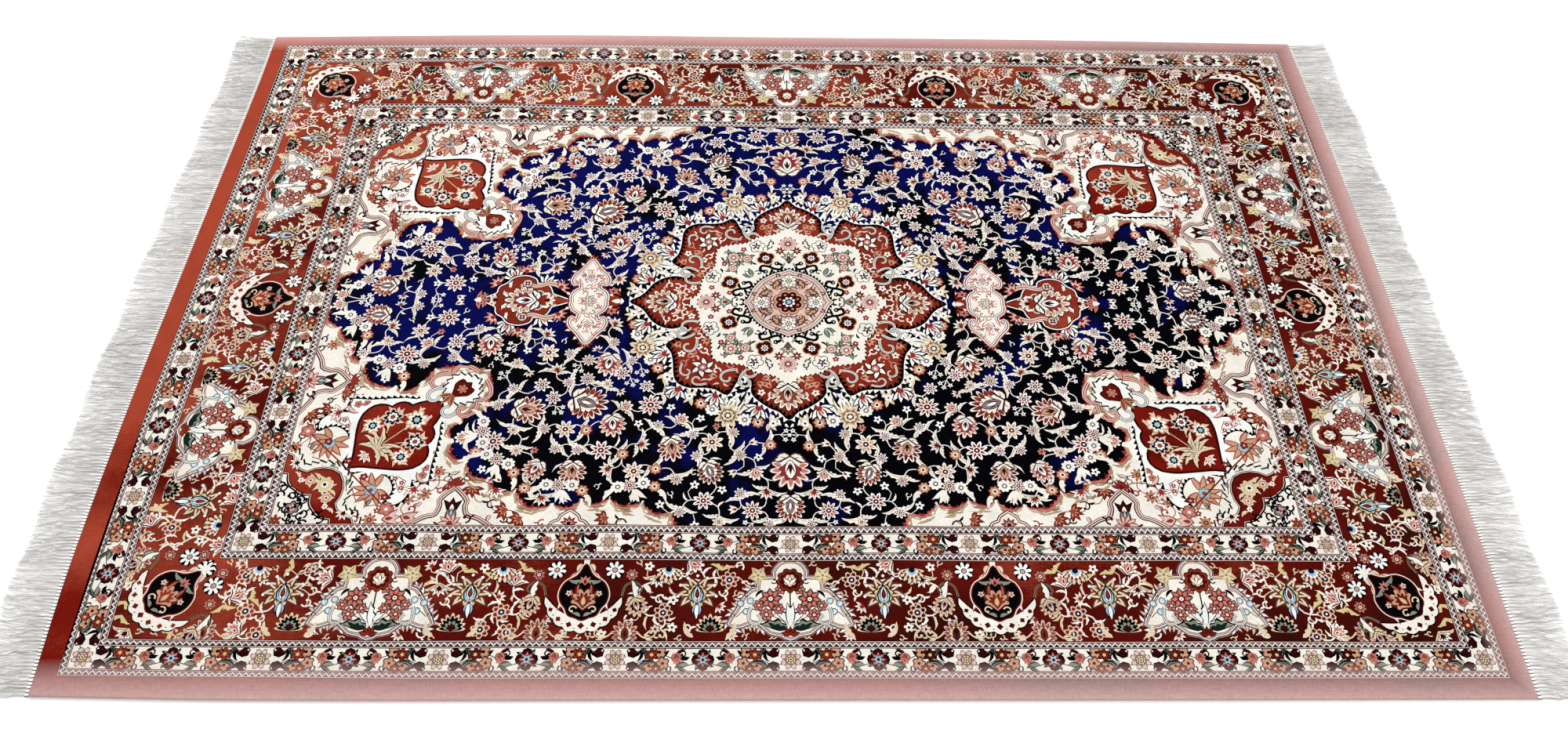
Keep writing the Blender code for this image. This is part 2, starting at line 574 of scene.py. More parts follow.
def palmette(place, size, outer, tone, inner, heart, core, edge, petals=9):
    """A fan of two-toned petals round a striped bulb, which opens along +x from a stalk at 0."""
    spread = 2.15
    for flip in (False, True):
        for turn, long in ((-118, 0.42), (-150, 0.30)):
            root = place.twin(0.10 * size - 0.02j * size, turn, flip)
            leaf(root, size * long, size * 0.13, 0.9, outer, edge)
    draw(place, fan_points(size, 0.635, petals, spread + 0.05, 0.30, 0.0), edge)
    draw(place, fan_points(size, 0.60, petals, spread, 0.36, 0.05), outer)
    for k in range(petals):
        angle = spread * (2 * (k + 0.5) / petals - 1)
        petal = place.inside(0.40 * size + cmath.rect(0.22 * size, angle), math.degrees(angle))
        draw(petal, drop(size * 0.31 * (1 - 0.25 * abs(angle) / spread), size * 0.125, 3), tone)
    draw(place, fan_points(size, 0.365, 6, 1.9, 0.26, 0.12), edge)
    draw(place, fan_points(size, 0.335, 6, 1.8, 0.28, 0.15), inner)
    bulb = smooth(both_sides([0.15, 0.30 - 0.11j, 0.50 - 0.12j, 0.66])[::-1], 3, True)
    bulb = anticlockwise([p * size for p in bulb])
    draw(place, grown(bulb, size * 0.022), edge)
    draw(place, bulb, heart)
    for turn in (-20, 20):
        spin = cmath.rect(1, math.radians(turn))
        draw(place, [size * (0.20 + p * spin) for p in drop(0.34, 0.045, 3)], edge)
    draw(place, [size * (0.25 + p) for p in drop(0.30, 0.09, 4)], core)


def bud_palmette(place, size, outer, inner, core, edge=None):
    """A small palmette."""
    if edge:
        draw(place, fan_points(size, 0.635, 6, 2.0, 0.28, -0.02), edge)
    draw(place, fan_points(size, 0.60, 6, 1.9, 0.36, 0.05), outer)
    draw(place, fan_points(size, 0.42, 6, 1.7, 0.34, 0.10), inner)
    draw(place, [size * (0.22 + p) for p in drop(0.44, 0.22, 3)], outer)
    draw(place, [size * (0.28 + p) for p in drop(0.32, 0.12, 3)], core)


def tulip(place, size, petal, heart, edge=None):
    """A three-pointed cup, opening along +x."""
    cup = [0, 0.30 - 0.30j, 0.9 - 0.52j, 0.72 - 0.16j, 1.05, 0.72 + 0.16j, 0.9 + 0.52j, 0.30 + 0.30j]
    if edge:
        draw(place, [(p - 0.5) * size * 1.25 + 0.5 * size for p in cup], edge)
    draw(place, [p * size for p in cup], petal)
    draw(place, [size * (0.12 + p) for p in drop(0.55, 0.3, 4)], heart)


def lily(place, size, petal, heart, edge):
    """A flower from the side: three wide petals over a dark throat, with a leaf each side."""
    for flip in (False, True):
        leaf(place.twin(0, 70, flip), size * 0.75, size * 0.24, -0.8, petal, edge)
    throat = [0, 0.22 - 0.16j, 0.60 - 0.22j, 0.60 + 0.22j, 0.22 + 0.16j]
    draw(place, [p * size * 1.12 for p in throat], edge)
    draw(place, [p * size for p in throat], heart)
    for turn in (-38, 38, 0):
        draw(place.inside(0.46 * size, turn), leaf_points(size * 0.62, size * 0.34, 0.0), petal)
    draw(place.inside(0.50 * size, 0), leaf_points(size * 0.34, size * 0.12, 0.0, 3), heart)


def curl(place, size, width, colour, leafed=True):
    """A stem that starts along +x and rolls up to its left, with a leaf on its back."""
    path = []
    for k in range(9):
        t = k / 8
        radius = size * (0.5 - 0.33 * t)
        path.append(size * 0.5j + cmath.rect(radius, -math.pi / 2 + t * 4.3))
    draw(place, ribbon(path, width, 0.8), colour)
    draw(place, circle(width * 0.95, 5, path[-1]), colour)
    if leafed:
        draw(place.inside(path[3], 70), leaf_points(size * 0.55, size * 0.22, -0.7), colour)


def scroll(place, size, colour, flip=False):
    """A bold stem that bends one way, with split leaves and a rolled end."""
    here = place.inside(0, 0, 1, flip)
    path = smooth([-0.5 - 0.10j, -0.2 + 0.10j, 0.15 + 0.12j, 0.40 - 0.08j, 0.34 - 0.30j, 0.17 - 0.24j], 3)
    draw(here, [size * p for p in ribbon(path, 0.085, 0.7)], colour)
    draw(here, circle(size * 0.075, 6, size * (0.19 - 0.20j)), colour)
    grow(here, (
        (plume, size * (-0.05 + 0.12j), 48, size * 0.42, size * 0.17, -0.7, colour, None, 5),
        (leaf, size * (-0.15 + 0.08j), -48, size * 0.36, size * 0.14, 0.7, colour),
        (leaf, size * (0.36 + 0.02j), 30, size * 0.30, size * 0.12, -0.5, colour),
    ))


def volute(place, size, colour, line):
    """A thick scroll with a pale edge."""
    path = []
    for k in range(8):
        t = k / 7
        path.append(size * 0.5j + cmath.rect(size * (0.5 - 0.30 * t), -math.pi / 2 + t * 4.4))
    path = smooth([-0.9 * size + 0.28j * size, -0.45 * size + 0.06j * size] + path, 2)
    draw(place, ribbon(path, size * 0.29, 0.7), line)
    draw(place, ribbon(path, size * 0.19, 0.7), colour)
    draw(place, ribbon(path, size * 0.05, 0.7), line)


# ------------------------------------------------------------ filling a ground


def hold(point, radius):
    taken.append((complex(point), radius))


def is_free(point, radius):
    return all(abs(point - other) > radius + reach for other, reach in taken)


def scatter(inside, box, radius, tries, near_axis=0.0):
    """Free spots in a box that pass the test, with a radius held round each.

    near_axis is how far they keep from the rug's middle lines, as a share of the radius.
    """
    found = []
    low, high = box
    for _ in range(tries):
        point = complex(rng.uniform(low.real, high.real), rng.uniform(low.imag, high.imag))
        if min(point.real, point.imag) < radius * near_axis:
            continue
        if is_free(point, radius) and inside(point):
            hold(point, radius)
            found.append(point)
    return found


def contains(outline, point):
    odd = False
    for a, b in zip(outline, outline[1:] + outline[:1]):
        if (a.imag > point.imag) != (b.imag > point.imag):
            cross = a.real + (point.imag - a.imag) * (b.real - a.real) / (b.imag - a.imag)
            odd ^= point.real < cross
    return odd


def tree(points, reach):
    """Pairs that join the points into one branching vine, each as short as it can be and within reach."""
    rest = list(points[1:])
    best = {p: (abs(p - points[0]), points[0]) for p in rest}
    links = []
    while rest:
        near = min(rest, key=lambda p: best[p][0])
        distance, parent = best[near]
        rest.remove(near)
        if distance < reach:
            links.append((parent, near))
        for p in rest:
            if abs(p - near) < best[p][0]:
                best[p] = (abs(p - near), near)
    return links


def vine(a, b, bend, width, colour):
    """A stem from a to b that bows to one side by a share of its length; returns its points."""
    path = smooth([a, (a + b) / 2 + 1j * (b - a) * bend, b], 4)
    draw(Place(), ribbon(path, width), colour)
    return path


def nearest(point, stems):
    return min(stems, key=lambda stem: abs(stem - point))


def twig(point, stems, width, colour):
    """A stalk to a point from the nearest stem, if one is near; returns where it starts and bends."""
    root = nearest(point, stems)
    middle = (root + point) / 2 + 1j * (point - root) * 0.3
    if abs(point - root) < TWIG_REACH:
        draw(Place(), ribbon(smooth([root, middle, point], 2), width), colour)
    return root, middle


def side_leaf(point, stems, reach, longer, width, pick_colour):
    """A sawn leaf towards a point from the nearest stem; false if that is out of reach."""
    root = nearest(point, stems)
    length = abs(point - root)
    if length >= reach:
        return False
    side = rng.choice((-1, 1))
    turn = facing(point - root) - side * 22
    plume(Place(root, turn), length + longer, width, 0.7 * side, pick_colour(), None, 5)
    return True


def one_of(place, kinds):
    """One motif by chance: (upper limit, motif, spot, its own values); a tuple of colours is a choice."""
    chance = rng.random()
    for limit, motif, spot, *values in kinds:
        if chance < limit:
            values = [rng.choice(value) if isinstance(value, tuple) else value for value in values]
            motif(place.inside(spot), *values)
            return


# ------------------------------------------------------------ stripes and guards


def rectangle(half, colour):
    draw(Place(), [-0.01 - 0.01j, half[0] - 0.01j, complex(*half), complex(-0.01, half[1])], colour)


def band(half, inset, width, colour):
    """The part of a rectangular ring that lies in the quarter."""
    a, b = half[0] - inset, half[1] - inset
    c, d = a - width, b - width
    draw(Place(), [complex(c, -0.01), complex(a, -0.01), complex(a, b), complex(-0.01, b),
                   complex(-0.01, d), complex(c, d)], colour)


def zigzag(half, inset, height):
    """A white zigzag between a light and a dark ground."""
    for long_side in (True, False):
        length = (half[0] if long_side else half[1]) - inset
        reach = (half[1] if long_side else half[0]) - inset
        count = round(length / ZIGZAG)
        step = length / count
        top = []
        for k in range(-1, 2 * count + 1):
            top.append(complex(k * step / 2, reach - (height * 0.08 if k % 2 else height * 0.92)))
        low = reach - height
        teeth = top + [complex(length, low), complex(-step, low)]
        draw(side_place(long_side), teeth, "mauve")
        draw(side_place(long_side), ribbon(top, height * 0.34), "white")


def stripe(half, inset, width):
    """A striped band with a zigzag in its middle."""
    for line, colour in STRIPE_LINES:
        band(half, inset + line, width - 2 * line, colour)
    zigzag(half, inset + STRIPE_CORE, width - 2 * STRIPE_CORE)


# What grows on the guard's stem between its two rosettes: (motif, x, y, turn, the motif's own values).
GUARD_GROWTH = (
    (leaf, 0.104, -0.004, 152, 0.019, 0.0070, 0.6, "black"),
    (leaf, 0.103, 0.007, 200, 0.019, 0.0060, -0.6, "sage", "green"),
    (curl, 0.094, -0.0125, 0, 0.0095, 0.0022, "black", False),
    (leaf, 0.101, 0.0160, 188, 0.021, 0.0064, 0.5, "green", None, "sage"),
    (leaf, 0.098, -0.0150, 172, 0.020, 0.0060, -0.5, "maroon"),
    (leaf, 0.096, 0.0020, 150, 0.013, 0.0044, 0.6, "umber"),
    (lily, 0.0835, -0.0095, 78, 0.0155, "pink", "rust", "umber"),
    (leaf, 0.075, -0.0135, 150, 0.018, 0.0056, -0.5, "black"),
    (curl, 0.076, 0.0090, 30, 0.0100, 0.0022, "black", False),
    (leaf, 0.046, 0.0160, 186, 0.016, 0.0056, 0.5, "umber"),
    (leaf, 0.044, -0.0160, 174, 0.017, 0.0056, -0.5, "green", None, "sage"),
    (leaf, 0.070, 0.0140, 196, 0.014, 0.0048, 0.4, "sage", "green"),
    (leaf, 0.047, -0.002, 215, 0.020, 0.0058, 0.6, "green", None, "sage"),
    (leaf, 0.060, -0.001, -20, 0.015, 0.0052, -0.5, "black"),
    (daisy, 0.0660, 0.0050, 0, 0.0082, 5, "peach", "maroon", "umber", 0.36),
    (daisy, 0.0475, 0.0085, 0, 0.0082, 5, "peach", "maroon", "umber", 0.36),
    (daisy, 0.0610, -0.0105, 0, 0.0082, 5, "peach", "black", "umber", 0.36),
    (daisy, 0.0500, -0.0070, 0, 0.0088, 6, "brick", "yellow", "maroon", 0.55),
    (daisy, 0.0570, 0.0125, 0, 0.0062, 6, "rust", "yellow", "maroon", 0.5),
    (leaf, 0.033, 0.0125, -70, 0.024, 0.0075, 0.9, "green", None, "sage"),
    (leaf, 0.035, -0.0135, 62, 0.018, 0.0056, 0.8, "black"),
)


def guard_half(place, length):
    """Half of the guard's repeat, from its pink rosette at 0 to its dark one at length."""
    stretch = length / GUARD_REPEAT
    wave = []
    for x in (0.0, 0.02, 0.04, 0.06, 0.08, 0.10, GUARD_REPEAT):
        wave.append(complex(x * stretch, GUARD_SWAY * math.sin(x * GUARD_SWAY_TURN)))
    draw(place, ribbon(smooth(wave, 2), 0.0012), "black")
    for motif, x, y, turn, *values in GUARD_GROWTH:
        motif(place.inside(complex(x * stretch, y), turn), *values)
    # Two curled leaves and a white dot on either side of the pink rosette.
    for flip in (False, True):
        tip = place.twin(complex(0.0155 * stretch, 0.0125), -52, flip)
        leaf(tip, 0.0185, 0.0080, 0.95, "maroon", "black", "pink")
        tip = place.twin(complex(0.0150 * stretch, 0.0125), 14, flip)
        leaf(tip, 0.0150, 0.0070, -0.6, "maroon", "black")
        dot = complex(0.0185 * stretch, -0.0125 if flip else 0.0125)
        draw(place, circle(0.0014, 4, dot), "white")


def guard_rose(place):
    stack(place, (
        (lobes, "black", 0.0148, 8, 0.26, 3), (lobes, "blush", 0.0136, 8, 0.32, 4),
        (star, "mauve", 0.0112, 8, 0.36), (lobes, "black", 0.0082, 8, 0.28, 2),
        (lobes, "cream", 0.0070, 8, 0.28, 2), (lobes, "umber", 0.0050, 6, 0.2, 2),
        (circle, "yellow", 0.0034, 6), (circle, "black", 0.0014, 4),
    ))


def guard_star(place):
    for turn in (45, 135, 225, 315):
        leaf(place.inside(0, turn), 0.0185, 0.0078, 0.2, "black")
        leaf(place.inside(0, turn + 22), 0.0165, 0.0048, -0.4, "sage")
    stack(place, (
        (lobes, "black", 0.0158, 4, 0.30, 4, 0.5), (lobes, "maroon", 0.0140, 4, 0.34, 4, 0.5),
        (star, "pink", 0.0108, 8, 0.42), (lobes, "black", 0.0074, 8, 0.3, 2), (star, "sky", 0.0068, 6, 0.40),
        (circle, "maroon", 0.0024, 5),
    ))


def floral_guard(half, inset, width, long_halves, short_halves):
    """The floral band; each side has a number of half repeats between its middle and the corner."""
    band(half, inset, width, "ivory")
    for long_side in (True, False):
        corner = (half[0] if long_side else half[1]) - inset - width / 2
        reach = (half[1] if long_side else half[0]) - inset - width / 2
        halves = long_halves if long_side else short_halves
        step = corner / halves
        side = side_place(long_side)
        for k in range(halves):
            from_rose = (halves - k) % 2 == 0
            start = side.inside(complex((k if from_rose else k + 1) * step, reach))
            if not from_rose:
                start = start.inside(0, 180, 1, True)
            guard_half(start, step)
        for k in range(halves + 1):
            motif = guard_rose if (halves - k) % 2 == 0 else guard_star
            motif(side.inside(complex(k * step, reach), 0, width / GUARD_WIDTH))


# ------------------------------------------------------------ main border

CARTOUCHE = (-0.056j, 0.012 - 0.053j, 0.020 - 0.042j, 0.020 - 0.031j, 0.040 - 0.030j, 0.042 - 0.015j,
             0.052 - 0.011j, 0.063 + 0.002j, 0.071 + 0.018j, 0.082 + 0.036j, 0.067 + 0.037j,
             0.052 + 0.031j, 0.038 + 0.036j, 0.026 + 0.047j, 0.011 + 0.050j, 0.056j)
OGEE = (-0.050j, 0.006 - 0.039j, 0.013 - 0.031j, 0.026 - 0.023j, 0.032 - 0.009j, 0.030 + 0.004j,
        0.023 + 0.013j, 0.018 + 0.023j, 0.009 + 0.026j, 0.030j)


def star_flower(place, radius, petals):
    """A flower of pointed pink petals with dark outlines and a pale eye."""
    stack(place, (
        (star, "umber", radius * 1.14, petals, 0.30, 0.12), (star, "pink", radius * 0.98, petals, 0.42, 0.12),
        (star, "brick", radius * 0.66, petals, 0.50, 0.5), (circle, "maroon", radius * 0.32, 7),
        (circle, "white", radius * 0.22, 6), (circle, "ink", radius * 0.09, 4),
    ))


def cartouche(place):
    outline = smooth(mirrored(CARTOUCHE), 2, True)
    even = spaced(outline, 0.0105)
    for p, n in zip(even, normals(even)):
        if abs(p.real) > 0.030:
            for bend, colour in ((-30, "blush"), (30, "white")):
                spike = place.inside(p + n * 0.003, facing(n) + bend + rng.uniform(-14, 14))
                leaf(spike, 0.0125, 0.0044, 0.4, colour, "umber")
    layered(place, outline, (
        (0.0066, "mauve"), (0.0052, "black"), (0.0042, "white"), (0.0028, "black"), (0.0019, "blush"),
        (0.0007, "rust"), (-0.0004, "ivory"),
    ))
    axis = place.inside(0, -90)
    for flip in (False, True):
        for x, y, turn in ((0.026, 0.026, -150), (0.030, 0.049, 20)):
            curl(axis.twin(complex(x, y), turn, flip), 0.010, 0.0018, "black", False)
        # The base leaves fan out and back from the foot.
        grow(axis, (
            (plume, -0.044 + 0.003j, 62, 0.036, 0.0125, 0.30, "sage", "black", 7),
            (plume, -0.042 + 0.004j, 104, 0.028, 0.0105, -0.55, "green", None, 6),
            (plume, -0.036 + 0.002j, 30, 0.030, 0.0080, 0.25, "white", "black", 6),
        ), flip)
        stem = [axis.twin(p, 0, flip).at for p in (-0.034 + 0.006j, -0.020 + 0.034j, -0.014 + 0.058j,
                                                  -0.026 + 0.074j)]
        draw(Place(), ribbon(smooth(stem, 2), 0.0011), "green")
        for x, y in ((-0.002, 0.0545), (-0.006, 0.068), (-0.018, 0.060)):
            bud = axis.twin(complex(x, y), 115, flip)
            draw(bud, circle(0.0056, 7), "ink")
            draw(bud, circle(0.0046, 7), "sky")
            tulip(bud.inside(-0.003), 0.0062, "white", "sky")
        for x, y, turn in ((0.010, 0.058, 60), (-0.024, 0.046, 200), (-0.026, 0.076, -30)):
            curl(axis.twin(complex(x, y), turn, flip), 0.0085, 0.0012, "black", False)
        for x, y, turn in ((0.004, 0.010, 70), (-0.010, 0.010, 60), (-0.016, 0.020, 80), (0.014, 0.036, 100)):
            leaf(axis.twin(complex(x, y), turn, flip), 0.0170, 0.0050, 0.6, "black")
        for x, y in ((0.0155, 0.0130), (-0.0090, 0.0430), (-0.0140, 0.0160)):
            star_flower(axis.twin(complex(x, y), 20, flip), 0.0086, 6)
        grow(axis, (
            (star_flower, 0.001 + 0.0270j, 0, 0.0150, 8),
            (star_flower, -0.0225 + 0.0325j, 0, 0.0100, 7),
            (volute, -0.0300 + 0.0560j, 190, 0.020, "white", "black"),
        ), flip)
    draw(axis, ribbon([-0.040, -0.01, 0.012], 0.0020), "black")
    plume(axis.inside(-0.040, 4), 0.034, 0.0095, 0.05, "white", "green", 7)
    rose = axis.inside(0.029)
    stack(rose, (
        (lobes, "black", 0.0196, 9, 0.16, 3), (lobes, "brick", 0.0184, 9, 0.20, 4),
        (lobes, "black", 0.0142, 9, 0.20, 3), (lobes, "red", 0.0130, 9, 0.22, 3),
        (lobes, "black", 0.0104, 7, 0.20, 3), (lobes, "cream", 0.0094, 7, 0.20, 3),
    ))
    for turn in (-45, 0, 45):
        leaf(rose.inside(-0.006, turn), 0.0125, 0.0052, 0.0, "white", "brick")
    for turn in (-70, -35, 0, 35, 70):
        leaf(axis.inside(-0.053, turn), 0.0125, 0.0058, 0.0, "brick", "maroon")


def crescent(place):
    """A scalloped white half moon with red diamonds; its horns run on as hooked vines."""
    centre = -0.006j
    outer = []
    inner = []
    steps = 36
    for k in range(steps + 1):
        share = 2 * k / steps - 1
        angle = math.radians(90 - 86 * share)
        scallop = 0.0036 * abs(math.sin(4.5 * math.pi * (share + 1)))
        outer.append(centre + cmath.rect(0.0530 + scallop * (1 - abs(share)) ** 0.3, angle))
        inner.append(centre + cmath.rect(0.0535 - 0.0196 * (1 - share * share) ** 0.75, angle))
    rim = outer[::-1] + inner[1:-1]
    for flip in (False, True):
        side = -1 if flip else 1
        hook = [complex(side * x, y) for x, y in ((0.0530, -0.004), (0.0580, -0.020), (0.0720, -0.024),
                                                  (0.0800, -0.014), (0.0740, -0.008))]
        draw(place, ribbon(smooth(hook, 3), 0.0032, 0.7), "olive")
        draw(place, ribbon(smooth(hook, 3), 0.0014, 0.7), "grey")
        lotus = place.inside(complex(side * 0.074, 0.010), 90 - side * 20)
        palmette(lotus.inside(-0.014), 0.031, "cream", "peach", "ink", "blush", "maroon", "umber")
        sepal = place.inside(complex(side * 0.071, -0.002), -90 + side * 10)
        plume(sepal, 0.026, 0.0085, -side * 0.4, "ivory", "green", 6)
    draw(place, grown(rim, 0.0018), "black")
    draw(place, rim, "ivory")
    for k in range(-3, 4):
        turn = 21 * k
        spot = centre + cmath.rect(0.0455 + 0.0013 * abs(k), math.radians(90 - turn))
        draw(place.inside(spot, -turn), star(0.0050 - 0.0004 * abs(k), 4, 0.30), "red")
        if k < 3:
            dot = centre + cmath.rect(0.0500, math.radians(90 - turn - 10.5))
            draw(place, circle(0.0012, 4, dot), "maroon")


def lozenge(place):
    crescent(place)
    outline = smooth(mirrored(OGEE), 3, True)
    axis = place.inside(0, -90)
    # The frame's pale flames and the points at its foot.
    for flip in (False, True):
        for at, turn, long in ((0.014 + 0.030j, 200, 0.030), (0.026 + 0.021j, 188, 0.026),
                               (0.040 + 0.013j, 172, 0.020)):
            leaf(axis.twin(at, turn, flip), long, 0.0090, -0.5, "ivory", "brick")
            leaf(axis.twin(at, turn - 6, flip), long * 0.6, 0.0036, -0.5, "pink")
        leaf(axis.twin(0.052 + 0.006j, 120, flip), 0.014, 0.0060, 0.6, "cream")
    leaf(axis.inside(0.046), 0.022, 0.0100, 0.0, "ivory")
    layered(place, outline, ((0.0044, "ivory"), (0.0030, "brick"), (0.0018, "maroon"), (0.0004, "black")))
    for flip in (False, True):
        grow(axis, (
            (leaf, 0.028 + 0.002j, 130, 0.022, 0.0070, -0.7, "sage"),
            (leaf, -0.002 + 0.003j, 46, 0.026, 0.0090, -0.6, "brick", "maroon", "peach"),
            (leaf, -0.004 + 0.002j, 92, 0.024, 0.0075, -0.9, "rust", "maroon"),
            (curl, -0.014 + 0.008j, 20, 0.013, 0.0022, "cream", False),
            (leaf, -0.026 + 0.002j, 40, 0.013, 0.0056, 0.5, "sage"),
            (daisy, 0.008 + 0.021j, 0, 0.0046, 5, "blush", "maroon", None, 0.4),
        ), flip)
    bud_palmette(axis.inside(-0.018), 0.034, "peach", "brick", "yellow", "maroon")
    tulip(axis.inside(0.020), 0.014, "pink", "red")


def gold_palmette(place):
    """The border's palmette of ragged cream leaves round a pale blue bulb, with a tail of leaves."""
    for turn in (-150, 150, -115, 115, -80, 80, -46, 46, -16, 16):
        base = place.inside(0.020, turn)
        long = 0.0285 if abs(turn) < 120 else 0.021
        leaf(base, long, 0.0108, 0.25 if turn > 0 else -0.25, "cream", "umber")
        leaf(base.inside(0.004), long * 0.62, 0.0044, 0.25 if turn > 0 else -0.25, "brick")
    for turn in (-98, 98, -62, 62, -30, 30, 0):
        draw(place.inside(0.020, turn).inside(0.027), circle(0.0024, 5), "white")
    draw(place.inside(0.020), lobes(0.0150, 7, 0.22, 3), "maroon")
    draw(place.inside(0.020), lobes(0.0134, 7, 0.24, 3), "yellow")
    for flip in (False, True):
        grow(place, (
            (leaf, 0.006 + 0.001j, 38, 0.026, 0.0080, -0.75, "sky", "ink"),
            (leaf, 0.010 + 0.001j, 16, 0.021, 0.0056, -0.3, "white", "ink"),
            (leaf, 0.004 + 0.001j, 150, 0.017, 0.0060, 0.5, "sky", "ink"),
        ), flip)
    draw(place.inside(0.012), drop(0.017, 0.0070, 4), "ink")
    draw(place.inside(0.014), drop(0.013, 0.0044, 4), "brick")
    leaf(place.inside(0.004, 180), 0.021, 0.0064, 0.0, "white", "ink")


def yellow_flower(place):
    """A five-pointed yellow leaf with green veins."""
    for k in range(5):
        leaf(place.inside(0, 72 * k), 0.0150, 0.0100, 0.0, "yellow", None, "olive")
    for k in range(5):
        leaf(place.inside(0, 72 * k + 36), 0.0095, 0.0050, 0.0, "cream")
    draw(place, circle(0.0022, 5), "olive")


def white_daisy(place):
    stack(place, (
        (lobes, "black", 0.0146, 10, 0.22, 3), (lobes, "white", 0.0134, 8, 0.60, 4),
        (circle, "umber", 0.0044, 8), (lobes, "blush", 0.0032, 5, 0.3, 2), (circle, "black", 0.0012, 4),
    ))


def pink_daisy(place):
    stack(place, (
        (lobes, "umber", 0.0094, 8, 0.30, 3), (lobes, "pink", 0.0082, 8, 0.36, 3),
        (star, "maroon", 0.0058, 8, 0.40, 0.5), (circle, "cream", 0.0030, 6), (circle, "maroon", 0.0012, 4),
    ))


def half_flower(place):
    """A rosette cut off by the border's inner edge; +x is into the border."""
    stack(place, (
        (fan_points, "black", 0.036, 0.66, 8, 1.75, 0.26, 0.3),
        (fan_points, "cream", 0.036, 0.60, 8, 1.7, 0.34, 0.3),
        (fan_points, "brick", 0.036, 0.44, 7, 1.65, 0.30, 0.3),
        (fan_points, "white", 0.036, 0.34, 6, 1.6, 0.24, 0.3),
        (fan_points, "sky", 0.036, 0.24, 5, 1.6, 0.24, 0.3), (circle, "ink", 0.0046, 7, 0.0136),
    ))


def edge_lotus(place):
    """A blush palmette on the border's outer edge with a scroll on each side; +x is into the border."""
    palmette(place.inside(-0.006), 0.036, "blush", "rust", "cream", "brick", "maroon", "umber")
    for flip in (False, True):
        scroll(place.twin(0.006 + 0.030j, 96, flip), 0.026, "cream")


def dark_lotus(place):
    """A dark fan with pale points on the border's outer edge."""
    stack(place, (
        (fan_points, "cream", 0.036, 0.66, 9, 1.75, 0.30, 0.3),
        (fan_points, "black", 0.036, 0.54, 9, 1.7, 0.24, 0.3),
        (fan_points, "sage", 0.036, 0.36, 6, 1.65, 0.30, 0.3),
        (fan_points, "maroon", 0.036, 0.24, 5, 1.6, 0.24, 0.3),
    ))
    for flip in (False, True):
        plume(place.twin(0.004 + 0.022j, 70, flip), 0.026, 0.0085, -0.7, "cream", None, 6)


def brick_rosette(place):
    stack(place, (
        (lobes, "cream", 0.0138, 7, 0.30, 3), (lobes, "brick", 0.0118, 7, 0.32, 3),
        (lobes, "blush", 0.0084, 7, 0.26, 2, 0.5), (circle, "ink", 0.0046, 7), (circle, "white", 0.0020, 4),
    ))


# Buds on twigs, and the red ground's flowers: (upper limit of the chance, motif, spot, its own values).
RED_BUDS = (
    (0.34, curl, -0.005 - 0.005j, 0.0160, 0.0024, "ivory"),
    (0.56, fan, -0.007, 0.0165, "ivory", "pink", "brick"),
    (0.72, daisy, 0, 0.0074, 5, "ivory", "maroon", None, 0.45),
    (1.00, sprig, -0.008, 0.0190, "yellow"),
)


def red_flower(place):
    """One of the red ground's middle-sized flowers, by chance."""
    kind = rng.random()
    if kind < 0.30:
        sprig(place.inside(-0.010), 0.0240, "cream", "olive")
        fan(place.inside(-0.006), 0.0200, "ivory", "brick", "maroon", "black")
    elif kind < 0.55:
        scroll(place, 0.030, "cream", rng.random() < 0.5)
        daisy(place.inside(0.004j), 0.0070, 6, "blush", "maroon", "umber", 0.4)
    elif kind < 0.80:
        sprig(place.inside(-0.012), 0.0220, "ivory")
        bud_palmette(place.inside(-0.012), 0.026, "ivory", "pink", "maroon", "black")
    else:
        brick_rosette(place)


def red_ground(inside, box, nodes):
    """Ivory vines with sawn leaves, scrolls, small flowers and buds on the red."""
    medium = scatter(inside, box, 0.0130, 4000)
    stems = []
    for a, b in tree(nodes + medium, VINE_REACH):
        path = vine(a, b, rng.choice((-0.28, 0.28)), 0.0022, "ivory")
        stems.extend(path[1:-1])
        for k, side in ((2, 1), (5, -1)):
            turn = facing(path[k + 1] - path[k]) + side * 38
            plume(Place(path[k], turn), 0.0155, 0.0044, 0.8 * side, "ivory", None, 6)
    for point in scatter(inside, box, 0.0084, 9000):
        root, _ = twig(point, stems, 0.0014, "cream")
        one_of(Place(point, facing(point - root)), RED_BUDS)

    def leaf_colour():
        return rng.choice(("cream", "ivory", "yellow"))

    for point in scatter(inside, box, 0.0060, 16000):
        if not side_leaf(point, stems, 0.022, 0.0050, 0.0042, leaf_colour):
            curl(Place(point, rng.uniform(0, 360)).inside(-0.004 - 0.004j), 0.0100, 0.0016, "cream")
    for point in medium:
        red_flower(Place(point, rng.uniform(0, 360)))


# What stands between a cartouche at 0 and the next lozenge at 1, where y is from the border's middle
# line towards the rug's edge: (motif, share of the way, y, turn, hold radius).
BORDER_SPAN = (
    (yellow_flower, 0.157, -0.037, 20, 0.014),
    (gold_palmette, 0.452, 0.012, -90, 0.024),
    (half_flower, 0.595, -0.058, 90, 0.017),
    (brick_rosette, 0.612, 0.020, 0, 0.014),
    (dark_lotus, 0.385, 0.059, -90, 0.018),
    (edge_lotus, 0.790, 0.059, -90, 0.019),
    (pink_daisy, 0.771, -0.036, 0, 0.009),
    (white_daisy, 0.856, -0.043, 12, 0.014),
)
# How far in from the border's outer line its motifs stand, along the sides and at the corners.
BORDER_MIDDLE = 0.0600
CORNER_INSET = 0.062
# The border's sides: (whether it is a long one, cartouches, lozenges, spans from a cartouche onwards).
BORDER_SIDES = (
    (True, (0.0, 0.572), (0.286,), ((0.0, 0.286), (0.572, 0.286), (0.572, 0.852))),
    (False, (0.252,), (0.0,), ((0.252, 0.0), (0.252, 0.520))),
)


